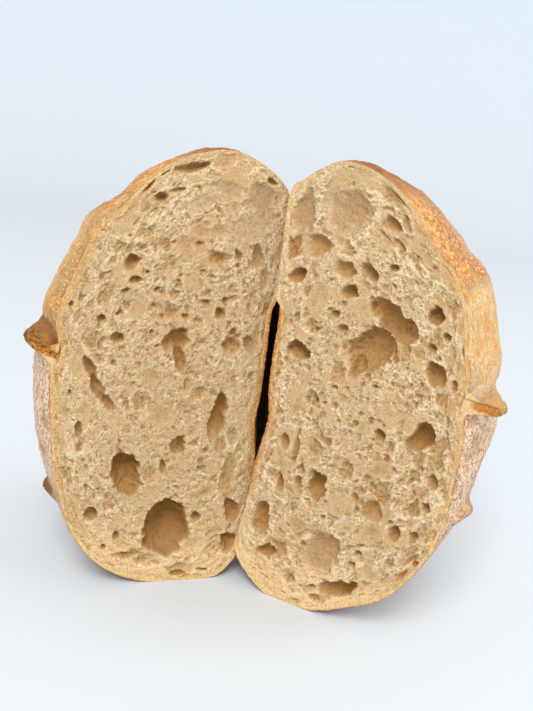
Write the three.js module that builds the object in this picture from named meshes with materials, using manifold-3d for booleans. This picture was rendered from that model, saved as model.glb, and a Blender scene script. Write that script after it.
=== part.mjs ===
// A round sourdough loaf, cut in two through its crown. The halves stand on end, bottom crust to
// bottom crust, with both cut faces to the front. Millimetres, +Z up, the cut faces look along -Y.
//
// Each half is worked out in its own axes: u runs from the bottom crust out to the crown, w runs up
// along the loaf's width, and d runs from the cut face back into the loaf. A half is its cut outline
// carried back along d and drawn in towards a pole. The torn ears of the scored crust are fused to
// it, and the large holes of the crumb are cut out of its face.

import * as THREE from 'three';
import { mergeVertices } from 'three/addons/utils/BufferGeometryUtils.js';
import Module from 'manifold-3d';

const wasm = await Module();
wasm.setup();

// ---------------------------------------------------------------- driving dimensions

const DEPTH = 108;            // cut face to the back of a half
const SLICES = 100;           // points round the outline
const RINGS = 11;             // rings of crust, from the cut to the pole
const FACE_STEPS = [0.36, 0.7]; // rings on the cut face, as shares of the outline
const LEAN_BACK = 1;          // degrees that the cut faces lean back
const ROLL = 1.5;             // degrees that both halves are turned in their own face
const CENTRE_SHIFT = { x: 0.6, y: -17.7 }; // from the seam of the two halves to the middle of the loaf

// how fast the outline is drawn in behind the cut: 2 is a circle, more is squarer, and a half's own
// shoulder is added between its crown and its top
const CURVE = { crown: 2.3, bottom: 5, lower: 3.4, upper: 2.3 };
const BULGE_PEAK = 0.84;      // share of the depth over which the crown side swells and falls again
const ROUNDING_START = 0.45;  // share of the depth where the outline starts to turn into an oval

const HALVES = [
  {
    name: 'left_half',
    side: -1,
    yaw: 19,
    place: { x: 0, y: 0, z: -3.4 },
    centre: { u: 42, w: 118 },
    bulge: { share: 0.125, at: 105, spread: 85 },
    shoulder: 0,
    opening: { low: 138, high: 204, recess: -0.6 },
    outline: [
      [5, 18], [4, 40], [1, 60], [1.5, 78], [4, 97], [3, 115], [3, 145], [2.9, 161], [0.5, 168],
      [0, 180], [0, 205], [1.5, 222], [14, 234], [33, 241], [54, 237], [72, 226], [84, 212],
      [97, 201], [103, 184], [112, 160], [114, 149], [111.5, 135], [115, 120], [113, 90], [108, 60],
      [98, 32], [82, 13], [60, 3], [36, 0], [16, 4],
    ],
    ears: [
      { at: 138, from: 0.4, length: 62, rise: 15, drop: 10.5, crease: [-0.5, 0.62], under: 1, blunt: 0.15,
        whole: false },
      { at: 50, from: 12, length: 36, rise: 4.5, drop: 4.5, crease: [0, 0.8], under: 1, blunt: 0.15, whole: true },
    ],
    // u, w, half length, half width, turn from u in degrees, depth
    holes: [
      [48, 34, 17, 13, 80, 15], [72, 68, 12.5, 7.5, 76, 12], [25, 100, 14, 4, -82, 12],
      [53, 141, 7.5, 6, -20, 7], [96, 125, 5.5, 2.2, 62, 6], [90, 115, 6.5, 2.6, 67, 7],
      [83, 142, 4, 2.5, -3, 6], [79, 182, 5, 3, -53, 7], [77, 173, 3, 2, -9, 5],
      [75, 220, 4.5, 2, -47, 6], [54, 230.5, 9, 2, -18, 4], [16, 216, 12, 7, 62, 2.4],
      [22, 141, 5, 4, 0, 5], [45, 84, 5, 5, 0, 5], [89, 44, 4, 4, 0, 5], [10, 44, 7, 4.5, 62, 5],
      [11, 25, 6.5, 4, 80, 5],
    ],
  },
  {
    name: 'right_half',
    side: 1,
    yaw: 27,
    place: { x: 0, y: -9, z: -1.8 },
    centre: { u: 36, w: 118 },
    bulge: { share: 0.145, at: 136, spread: 46 },
    shoulder: 2,
    opening: { low: 138, high: 198, recess: 0 },
    outline: [
      [-7, 21], [-6.5, 34], [-4, 53], [-2, 80], [1.5, 104], [-1, 122], [-1, 150], [-1.3, 164],
      [-4, 170], [-4.5, 190], [-5, 222],
      [3, 232], [21, 243], [43, 239], [60, 227.5], [76, 210], [86, 202], [94, 187], [99, 168],
      [103, 152], [101.5, 141], [105.5, 127], [106, 100], [105, 75], [98, 51], [83, 28], [62, 13],
      [42, 3], [22, 0], [5, 8],
    ],
    ears: [
      { at: 141.3, from: 0.4, length: 34, rise: 18.6, drop: 9, crease: [0.38, 0.7], under: 0.4, blunt: 0.38,
        whole: false },
      { at: 79, from: 8, length: 36, rise: 5.5, drop: 7, crease: [0, 0.8], under: 1, blunt: 0.15, whole: true },
    ],
    holes: [
      [4, 211, 16.5, 5.2, 83, 3.2], [27, 219, 12.5, 9, 38, 2.4], [51, 218, 5, 2.5, -32, 7],
      [56, 209, 4.5, 1.6, -32, 7], [14, 200, 6.5, 5.5, 12, 4], [30, 192, 5, 4, 12, 4],
      [12, 145, 6.5, 5, -14, 9], [60, 172, 14.5, 6.2, -36, 9], [50.5, 155, 13.5, 9, 56, 8.5],
      [81, 180, 4.5, 4, -47, 9], [86, 152, 6.5, 4, -47, 9], [64, 113, 4, 3, -79, 9],
      [85, 119, 9, 5.5, 68, 12], [95, 97, 4.5, 2.5, 90, 7], [35, 76, 8, 4.5, 90, 9],
      [43, 39, 13.5, 8.5, 39, 3.2], [56, 22, 11, 4, 28, 10], [12, 27, 6, 3.5, 22, 6],
    ],
  },
];

// low swells of the crust: height, waves round the outline, half waves along the depth, phase
const SWELLS = [[0.7, 5, 2, 0.4], [0.5, 9, 3.1, 1.9], [0.35, 14, 4.3, 3.2]];
const RELIEF_START = 15;      // depth over which the relief grows from nothing at the cut
const RELIEF_END = 0.8;       // share of the depth where it starts to die away to the pole
const OPENING_EDGE = 7;       // how softly the torn score opening begins and ends

// The plane between the halves: x where it crosses the seam, and degrees that it turns away from Y.
// Behind the cut each bottom crust comes to within the gap of it, over the closing depth, and leaves
// it again from the parting depth on. The ends of the bottom stay square to the cut face.
const SEAM = { x: 2.6, turn: 8, gap: 0.4, closing: 45, parting: 50, ends: 70, top: 240 };

// section of an ear below its tip: height as a share of its drop, before it is flattened by the ear's
// own "under", share of its rise, and how far the point is sunk in the crust
const EAR_FOOT = [
  [-2, 0, 6], [-1.9, 0, 1], [-1, 0.12, 0], [-0.7, 0.38, 0], [-0.44, 0.66, 0], [-0.17, 0.92, 0],
  [0, 1, 0],
];
// section above its blunt tip: share of the way up or down to the crease, share of the rise, the sink
const EAR_TOP = [[0, 0.96, 0], [0.3, 0.74, 0], [0.54, 0.42, 0], [0.88, 0.15, 0], [1, 0, 1], [1, 0, 6]];
const EAR_FLAP = 7;           // depth over which the flap turns into the wedge
const EAR_END_SINK = 2;       // how much deeper the section lies where the ear has died away
const EAR_STATIONS = 10;      // sections along an ear
const CROWN_SIDE = 0.3;       // least share of u in the direction of a point on the crown side

const BIG_HOLE = 12;          // half length from which a hole gets more faces
const HOLE_DROP = 0.12;       // how far behind the face a hole's middle lies, as a share of its depth
const FLOOR_BLOCK = 400;      // side of the block that flattens what stands on the floor
const WELD = 1e-4;            // points closer than this are one
const ARC_DIVISIONS = 2000;   // steps that measure the outline's length

const CRUST = new THREE.MeshStandardMaterial({ color: 0xc9a06a, roughness: 0.85, metalness: 0 });

// ---------------------------------------------------------------- small helpers

const radians = THREE.MathUtils.degToRad;
const smooth = (x) => THREE.MathUtils.smoothstep(x, 0, 1);

/** A point of a half's own axes as a point of its mesh: x is u to the outside, y is d, z is w. */
const toMesh = (half, u, w, d) => new THREE.Vector3(half.side * u, d, w);

/** A closed three.js geometry as a manifold solid. */
function solidOf(geometry) {
  const bare = geometry.clone();
  bare.deleteAttribute('normal');
  bare.deleteAttribute('uv');
  const merged = mergeVertices(bare, WELD);
  return new wasm.Manifold(new wasm.Mesh({
    numProp: 3,
    vertProperties: new Float32Array(merged.attributes.position.array),
    triVerts: new Uint32Array(merged.index.array),
  }));
}

/** A manifold solid as a three.js geometry. */
function geometryOf(solid) {
  const { vertProperties, triVerts } = solid.getMesh();
  const geometry = new THREE.BufferGeometry();
  geometry.setAttribute('position', new THREE.BufferAttribute(vertProperties, 3));
  geometry.setIndex(new THREE.BufferAttribute(triVerts, 1));
  geometry.computeVertexNormals();
  return geometry;
}

/** A closed skin over rows of points: a cap at each end, and a band between each two rows. */
function skin(rows, firstTip, lastTip, flip) {
  const count = rows[0].length;
  const points = [firstTip, ...rows.flat(), lastTip];
  const triangles = [];
  const add = (a, b, c) => (flip ? triangles.push(a, c, b) : triangles.push(a, b, c));
  const at = (row, i) => 1 + row * count + (i % count);
  for (let i = 0; i < count; i += 1) {
    add(0, at(0, i), at(0, i + 1));
    for (let row = 0; row + 1 < rows.length; row += 1) {
      add(at(row, i), at(row + 1, i), at(row, i + 1));
      add(at(row, i + 1), at(row + 1, i), at(row + 1, i + 1));
    }
    add(at(rows.length - 1, i + 1), at(rows.length - 1, i), points.length - 1);
  }
  const geometry = new THREE.BufferGeometry();
  const numbers = points.flatMap((p) => p.toArray());
  geometry.setAttribute('position', new THREE.Float32BufferAttribute(numbers, 3));
  geometry.setIndex(triangles);
  return geometry;
}

// ---------------------------------------------------------------- the body of a half

/** How a half's own axes lie in the loaf's. */
function placement(half) {
  const turn = new THREE.Euler(radians(-LEAN_BACK), radians(ROLL), radians(-half.side * half.yaw), 'ZXY');
  const matrix = new THREE.Matrix4().makeRotationFromEuler(turn);
  return matrix.setPosition(half.place.x, half.place.y, half.place.z);
}

/** The side of the seam's gap that faces a half, as u at any w and d: the plane, met along u. */
function seamOf(half) {
  const [x, y, z] = [new THREE.Vector3(), new THREE.Vector3(), new THREE.Vector3()];
  const matrix = placement(half);
  matrix.extractBasis(x, y, z);
  const normal = new THREE.Vector3(Math.cos(radians(SEAM.turn)), -Math.sin(radians(SEAM.turn)), 0);
  const origin = new THREE.Vector3().setFromMatrixPosition(matrix);
  const start = normal.x * SEAM.x + half.side * SEAM.gap - normal.dot(origin);
  return (w, d) => (half.side * (start - d * normal.dot(y) - w * normal.dot(z))) / normal.dot(x);
}

/** The cut outline as evenly spaced points, each with its direction and distance from the centre. */
function outlineOf(half) {
  const curve = new THREE.CatmullRomCurve3(
    half.outline.map(([u, w]) => new THREE.Vector3(u, w, 0)), true, 'catmullrom', 0.5,
  );
  curve.arcLengthDivisions = ARC_DIVISIONS;
  const { centre } = half;
  const seam = seamOf(half);
  const us = half.outline.map(([u]) => u - centre.u);
  const ws = half.outline.map(([, w]) => w - centre.w);
  const [out, inside] = [Math.max(...us), -Math.min(...us)];
  const [up, down] = [Math.max(...ws), -Math.min(...ws)];
  return curve.getSpacedPoints(SLICES).slice(0, SLICES).map((p, i) => {
    const du = p.x - centre.u;
    const dw = p.y - centre.w;
    const radius = Math.hypot(du, dw);
    const [eu, ew] = [du / radius, dw / radius];
    const oval = 1 / Math.hypot(eu / (eu > 0 ? out : inside), ew / (ew > 0 ? up : down));
    const curveShare = (eu > 0 ? CURVE.crown : CURVE.bottom) * eu ** 2
      + (ew > 0 ? CURVE.upper : CURVE.lower) * ew ** 2
      + half.shoulder * Math.max(eu, 0) * Math.max(ew, 0) ** 3;
    const swell = half.bulge.share * Math.max(eu, 0)
      * Math.exp(-(((p.y - half.bulge.at) / half.bulge.spread) ** 2));
    const join = eu < 0 ? smooth(p.y / SEAM.ends) * smooth((SEAM.top - p.y) / SEAM.ends) : 0;
    const [seamStart, seamSlope] = [seam(p.y, 0), seam(p.y, 1) - seam(p.y, 0)];
    const turn = (2 * Math.PI * i) / SLICES;
    return { eu, ew, radius, oval, curveShare, swell, join, seamStart, seamSlope, u: p.x, w: p.y, turn };
  });
}

/** How far the crust stands out at a slice and a depth: low swells, less the torn score opening. */
function relief(half, slice, d) {
  const fade = smooth(d / RELIEF_START) * (1 - smooth((d / DEPTH - RELIEF_END) / (1 - RELIEF_END)));
  const swells = SWELLS.reduce((sum, [height, round, back, phase]) => (
    sum + height * Math.sin(round * slice.turn + phase) * Math.cos((back * Math.PI * d) / DEPTH + phase)), 0);
  const { low, high, recess } = half.opening;
  const opening = slice.eu > 0
    ? smooth((slice.w - low) / OPENING_EDGE) * smooth((high - slice.w) / OPENING_EDGE) : 0;
  return fade * (swells - recess * opening);
}

/**
 * A point of the crust: the outline drawn in towards the centre as the depth grows. Its bottom side
 * is first moved along u, from square to the cut over to the plane between the halves.
 */
function crustPoint(half, slice, d) {
  const t = d / DEPTH;
  const drawn = (1 - t ** slice.curveShare) ** (1 / slice.curveShare);
  const swollen = 1 + slice.swell * Math.sin(Math.PI * Math.min(t / BULGE_PEAK, 1));
  const round = smooth((t - ROUNDING_START) / (1 - ROUNDING_START));
  const joined = slice.join * smooth(d / SEAM.closing)
    * (1 - smooth((d - SEAM.parting) / (DEPTH - SEAM.parting)));
  const over = (slice.seamStart + slice.seamSlope * d - slice.u) * joined * drawn;
  const radius = THREE.MathUtils.lerp(slice.radius, slice.oval, round) * drawn * swollen
    + relief(half, slice, d) * (1 - joined);
  return { u: half.centre.u + slice.eu * radius + over, w: half.centre.w + slice.ew * radius };
}

/** The whole body of a half: its cut face, the crust rings behind it and the pole. */
function bodyGeometry(half, slices) {
  const { u: cu, w: cw } = half.centre;
  const face = FACE_STEPS.map((share) => slices.map((s) => (
    toMesh(half, cu + s.eu * s.radius * share, cw + s.ew * s.radius * share, 0))));
  const crust = Array.from({ length: RINGS }, (_, ring) => {
    const d = DEPTH * Math.sin((Math.PI / 2) * (ring / RINGS));
    return slices.map((s) => {
      const { u, w } = crustPoint(half, s, d);
      return toMesh(half, u, w, d);
    });
  });
  return skin([...face, ...crust], toMesh(half, cu, cw, 0), toMesh(half, cu, cw, DEPTH), half.side > 0);
}

// ---------------------------------------------------------------- ears and holes

/** The crown side of the outline at a height w, between its two nearest slices. */
function crownAt(slices, w) {
  const crown = slices.filter((slice) => slice.eu > CROWN_SIDE);
  const after = crown.findIndex((slice) => slice.w < w);
  const [above, below] = [crown[after - 1], crown[after]];
  const share = (above.w - w) / (above.w - below.w);
  return Object.fromEntries(Object.keys(above).map((key) => (
    [key, THREE.MathUtils.lerp(above[key], below[key], share)])));
}

/**
 * An ear of torn crust: it runs back from its start and dies away. Its crease is at one height at the
 * cut, where the ear is a flap, and at another behind it, where it is a wedge.
 */
function earGeometry(half, slices, ear) {
  const rows = Array.from({ length: EAR_STATIONS + 1 }, (_, i) => {
    const along = i / EAR_STATIONS;
    const grown = ear.whole ? Math.sin(Math.PI * along) : 1 - smooth(along);
    const d = ear.from + ear.length * along;
    const behind = smooth((d - ear.from) / EAR_FLAP);
    const rise = THREE.MathUtils.lerp(...ear.crease, behind) - ear.blunt;
    const foot = EAR_FOOT.map(([level, ...rest]) => [level * ear.under, ...rest]);
    const top = EAR_TOP.map(([share, ...rest]) => [ear.blunt + rise * share, ...rest]);
    return [...foot, ...top].map(([level, outShare, sunk]) => {
      const height = level * ear.drop;
      const { u, w } = crustPoint(half, crownAt(slices, ear.at + height), d);
      const out = ear.rise * outShare * grown - sunk - EAR_END_SINK * (1 - grown);
      return toMesh(half, u + out, w, d);
    });
  });
  const middle = (row) => row.reduce((sum, p) => sum.add(p), new THREE.Vector3()).divideScalar(row.length);
  return skin(rows, middle(rows[0]), middle(rows[EAR_STATIONS]), half.side < 0);
}

/** A hole of the crumb: an oval hollow whose middle lies a little behind the cut face. */
function holeGeometry(half, [u, w, long, short, turn, depth]) {
  const drop = HOLE_DROP * depth;
  const widen = 1 / Math.sqrt(1 - (drop / depth) ** 2);
  const geometry = new THREE.IcosahedronGeometry(1, long >= BIG_HOLE ? 2 : 1);
  geometry.scale(long * widen, depth, short * widen);
  geometry.rotateY(-half.side * radians(turn));
  const middle = toMesh(half, u, w, drop);
  geometry.translate(middle.x, middle.y, middle.z);
  return geometry;
}

// ---------------------------------------------------------------- the loaf

/** One half, placed on the floor, with its foot flattened where it stands. */
function makeHalf(half) {
  const slices = outlineOf(half);
  let solid = solidOf(bodyGeometry(half, slices));
  for (const ear of half.ears) solid = solid.add(solidOf(earGeometry(half, slices, ear)));
  for (const hole of half.holes) solid = solid.subtract(solidOf(holeGeometry(half, hole)));

  const mesh = new THREE.Mesh(undefined, CRUST.clone());
  mesh.name = half.name;
  mesh.applyMatrix4(placement(half));

  const floor = new THREE.BoxGeometry(FLOOR_BLOCK, FLOOR_BLOCK, FLOOR_BLOCK);
  floor.translate(0, 0, -FLOOR_BLOCK / 2);
  floor.applyMatrix4(placement(half).invert());
  mesh.geometry = geometryOf(solid.subtract(solidOf(floor)));
  return mesh;
}

const loaf = new THREE.Group();
loaf.position.set(CENTRE_SHIFT.x, CENTRE_SHIFT.y, 0);
loaf.add(...HALVES.map(makeHalf));

export default loaf;
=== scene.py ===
"""A round sourdough loaf, cut in two, its halves standing on end bottom to bottom.

Each half is made of two closed pieces. The crumb is the soft inside, with its cut face full of
holes. The crust is the baked shell round it, with the torn ears and the pale opening where the
loaf was scored. Both are worked out in the half's own axes, in millimetres: u runs from the bottom
crust out to the crown, w runs up along the loaf's width, and d runs back from the cut face.
"""
import logging
import math
from collections.abc import Sequence
from dataclasses import dataclass, field
from enum import Enum

import bpy
import numpy as np
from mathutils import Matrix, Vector


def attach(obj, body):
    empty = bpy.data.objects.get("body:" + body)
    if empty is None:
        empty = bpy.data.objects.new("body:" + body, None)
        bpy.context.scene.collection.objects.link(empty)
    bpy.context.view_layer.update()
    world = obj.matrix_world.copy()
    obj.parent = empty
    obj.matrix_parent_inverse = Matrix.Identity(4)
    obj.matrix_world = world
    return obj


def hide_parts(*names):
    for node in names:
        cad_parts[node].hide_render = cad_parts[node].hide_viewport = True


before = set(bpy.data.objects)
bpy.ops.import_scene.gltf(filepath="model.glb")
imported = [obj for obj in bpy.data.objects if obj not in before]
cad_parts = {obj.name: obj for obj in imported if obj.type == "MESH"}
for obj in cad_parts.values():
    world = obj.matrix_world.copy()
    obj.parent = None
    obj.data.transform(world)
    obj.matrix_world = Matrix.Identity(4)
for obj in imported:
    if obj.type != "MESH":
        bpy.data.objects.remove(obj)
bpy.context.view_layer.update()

logging.basicConfig(level=logging.INFO, format="%(message)s")
LOG = logging.getLogger("loaf")

Array = np.ndarray
Colour = tuple[float, float, float, float]

MM = 0.001                    # one millimetre in the scene's metres
FRAME_HEIGHT = 711            # of the picture, in pixels


# ------------------------------------------------------------------ numbers and fields


def smooth(x: Array) -> Array:
    """A soft step: 0 below 0, 1 above 1, and 3x squared less 2x cubed between."""
    x = np.clip(x, 0.0, 1.0)
    return x * x * (3.0 - 2.0 * x)


def unit(x: Array) -> Array:
    """The numbers, kept between 0 and 1."""
    return np.clip(x, 0, 1)


def soft_maximum(a: Array, b: Array, reach: float) -> Array:
    """The larger of two numbers, with a round bend of the given reach where they are nearly equal."""
    bend = np.clip(reach - abs(a - b), 0.0, None)
    return np.maximum(a, b) + bend * bend / (4.0 * reach)


def tint(red: int, green: int, blue: int) -> Colour:
    """A display colour as the linear colour that a shader takes, by the usual display curve.

    Args:
        red, green, blue: its parts, from 0 to 255.

    Returns:
        The linear colour, with an alpha of 1.
    """
    parts = [part / 255.0 for part in (red, green, blue)]
    linear = [p / 12.92 if p <= 0.04045 else ((p + 0.055) / 1.055) ** 2.4 for p in parts]
    return (linear[0], linear[1], linear[2], 1.0)


@dataclass(frozen=True)
class Noise:
    """A soft random field on a lattice. It repeats after a whole number of cells across.

    Attributes:
        seed: what the random lattice is drawn from.
        across: cells after which the field repeats in its first direction.
    """

    seed: int
    across: int = 256

    ROWS = 256                # cells after which it repeats in its second direction
    RANGE = 1.4               # what a layered sum is divided by, to lie mostly between -1 and 1

    def sample(self, x: Array, y: Array) -> Array:
        """The field, from -1 to 1: random lattice values, blended with soft steps between them.

        Args:
            x: places in the first direction, in cells.
            y: places in the second direction, in cells.

        Returns:
            One value for each place.
        """
        lattice = np.random.default_rng(self.seed).uniform(-1.0, 1.0, (self.ROWS, self.across))
        column, row = np.floor(x).astype(int), np.floor(y).astype(int)
        right, up = smooth(x - column), smooth(y - row)
        c0, c1 = column % self.across, (column + 1) % self.across
        r0, r1 = row % self.ROWS, (row + 1) % self.ROWS
        low = lattice[r0, c0] * (1 - right) + lattice[r0, c1] * right
        high = lattice[r1, c0] * (1 - right) + lattice[r1, c1] * right
        return low * (1 - up) + high * up

    def layered(self, x: Array, y: Array, layers: int = 3) -> Array:
        """A sum of fields, each twice as fine as the last and half as strong.

        Args:
            x: places in the first direction, in cells of the coarsest layer.
            y: places in the second direction, in the same cells.
            layers: how many fields are summed.

        Returns:
            One value for each place, mostly between -1 and 1.
        """
        total = np.zeros(np.broadcast(x, y).shape)
        for layer in range(layers):
            finer = Noise(self.seed + layer, self.across * 2**layer)
            total += finer.sample(x * 2.0**layer, y * 2.0**layer) / 2.0**layer
        return total / self.RANGE


def blurred(values: Array, reach: int) -> Array:
    """The mean of a square of cells round each cell of a grid, from sums of sums.

    Args:
        values: a grid of numbers.
        reach: cells on each side of the middle one.

    Returns:
        A grid of the same shape.
    """
    width = 2 * reach + 1
    for axis in (0, 1):
        pad = [(reach + 1, reach) if a == axis else (0, 0) for a in (0, 1)]
        sums = np.cumsum(np.pad(values, pad, mode="edge"), axis=axis)
        count = values.shape[axis]
        values = (np.take(sums, range(width, width + count), axis)
                  - np.take(sums, range(count), axis)) / width
    return values


# ------------------------------------------------------------------ the plan of the loaf


class HoleKind(Enum):
    """How a large hole of the crumb looks inside: gloss, toasting, and how much fine crumb it has."""

    OPEN = (0.15, 0.0, 0.52)
    GLOSSY = (0.9, 0.0, 0.10)
    TOASTED = (0.3, 0.8, 0.25)
    SOFT = (0.1, 0.0, 0.55)
    TINTED = (0.1, 0.5, 0.45)
    ROUGH = (0.0, 0.0, 0.9)

    def __init__(self, gloss: float, toast: float, crumb: float) -> None:
        """Keeps the three shares of the finish."""
        self.gloss = gloss
        self.toast = toast
        self.crumb = crumb


@dataclass(frozen=True)
class Hole:
    """A large hole of the cut face: an oval with an uneven edge.

    Attributes:
        u, w: its middle.
        long, short: its two half lengths.
        turn: the angle from u to its long axis, in degrees.
        depth: how deep it is.
        kind: how it looks inside.
    """

    u: float
    w: float
    long: float
    short: float
    turn: float
    depth: float
    kind: HoleKind = HoleKind.OPEN


@dataclass(frozen=True)
class Ear:
    """A lip of torn crust that stands out along the score.

    At the cut it is a flap with a crease above it, and a few millimetres behind it is a wedge.

    Attributes:
        at: the height w of its tip.
        start, length: where it begins behind the cut, and how far back it runs.
        rise: how far its tip stands out.
        drop: the unit of the heights in its section.
        hook: how far its crease lies below the tip at the cut, in drops.
        lift: how far the crease lies above the tip behind the cut, in drops.
        whole: True where it grows from nothing and dies away again.
        under: how steeply its lower side falls, as a share of the usual.
        blunt: the thickness of its tip, in drops.
        bare: how free of flour it is.
        scorch: how dark all of it is baked, beyond its tip.
    """

    at: float
    start: float
    length: float
    rise: float
    drop: float
    hook: float
    lift: float
    whole: bool = False
    under: float = 1.0
    blunt: float = 0.15
    bare: float = 1.0
    scorch: float = 0.0

    # section below the tip: height in drops and share of the rise
    FOOT = ((-2.0, 0.0), (-1.0, 0.12), (-0.7, 0.38), (-0.44, 0.66), (-0.17, 0.92), (0.0, 1.0))
    # section above it: share of the way down, or up, to the crease, and share of the rise
    TOP = ((0.0, 0.96), (0.3, 0.74), (0.54, 0.42), (0.88, 0.15), (1.0, 0.0))
    TIP = 5                   # where the tip stands in the section
    REACH = 1.8               # height in drops where the crust is plain again
    FLAP = 7.0                # depth over which the flap turns into the wedge

    def grown(self, d: Array) -> Array:
        """How much of the ear there is at each depth.

        Args:
            d: the depths.

        Returns:
            1 at its start, falling to 0 at its end, or for a whole ear 0, then 1 half way, then 0.
        """
        along = (d - self.start) / self.length
        if self.whole:
            return np.where((along > 0) & (along < 1), np.sin(math.pi * unit(along)), 0.0)
        return 1 - smooth(along)

    def section(self, height: Array, d: Array) -> tuple[Array, Array, Array]:
        """The ear's section, by heights that are spread evenly along it.

        Args:
            height: w of the plain crust, less the height of the ear's tip.
            d: the depth.

        Returns:
            How far the crust stands out, as a share of the rise, how far it moves up in mm, and the
            run along the section from -1 at its foot through 0 at the tip to 1 at its upper end.
        """
        at_cut, behind = ([self.blunt + (crease - self.blunt) * share for share, _ in self.TOP]
                          for crease in (-self.hook, self.lift))
        lower = [(level * self.under, level * self.under, out) for level, out in self.FOOT]
        upper = [(*pair, out) for *pair, (_, out) in zip(at_cut, behind, self.TOP)]
        knots = np.array([*lower, *upper, (self.REACH, self.REACH, 0.0)]) * (self.drop, self.drop, 1.0)
        steps = np.hypot(np.diff(knots[:, 0]), np.diff(knots[:, 2]) * self.rise)
        run = np.concatenate([[0.0], np.cumsum(steps)])
        low, high = knots[0, 0], knots[-1, 0]
        even = low + (high - low) * run / run[-1]
        tip = even[self.TIP]
        behind = smooth((d - self.start) / self.FLAP)
        at_cut, back = (np.interp(height, even, knots[:, k]) for k in (0, 1))
        shift = at_cut * (1 - behind) + back * behind - np.clip(height, low, high)
        run = np.where(height < tip, (height - tip) / (tip - low), (height - tip) / (high - tip))
        return np.interp(height, even, knots[:, 2]), shift, np.clip(run, -1, 1)


@dataclass(frozen=True)
class HalfPlan:
    """The sizes of one half of the loaf, in its own axes.

    Attributes:
        node: the CAD node that the half stands for.
        side: -1 on the left, 1 on the right.
        yaw: how far the cut face is turned away from the front, in degrees.
        place: where the half's own origin lies, in the row frame.
        centre: the middle that the outline is drawn in towards.
        bulge: how much the crown side swells behind the cut, at which height, and how widely.
        opening: the score opening's lowest and highest w, its recess, and how soft its ends are.
        ridges: how strongly the opening is ridged along the cut.
        char: how dark its ears are baked.
        core: how far the pale crumb reaches out into an ear at the cut; it does not where negative.
        outline: the cut face's edge, as points of one closed smooth curve.
        corners: four points near the edge where the face's grid has its corners.
        ears: the torn lips of the crust.
        holes: the large holes of the crumb.
        shoulder: how much fuller than its sides the half is above its crown side, behind the cut.
        openness: how coarse the crumb is between the large holes.
        lace: how white the strands of the crumb are.
        seed: what the half's random draws start from.
    """

    node: str
    side: int
    yaw: float
    place: tuple[float, float, float]
    centre: tuple[float, float]
    bulge: tuple[float, float, float]
    opening: tuple[float, float, float, float]
    ridges: float
    char: float
    core: float
    outline: tuple[tuple[float, float], ...]
    corners: tuple[tuple[float, float], ...]
    ears: tuple[Ear, ...]
    holes: tuple[Hole, ...]
    shoulder: float
    openness: float
    lace: float
    seed: int


GLOSSY, TOASTED, SOFT = HoleKind.GLOSSY, HoleKind.TOASTED, HoleKind.SOFT
TINTED, ROUGH = HoleKind.TINTED, HoleKind.ROUGH

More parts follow.
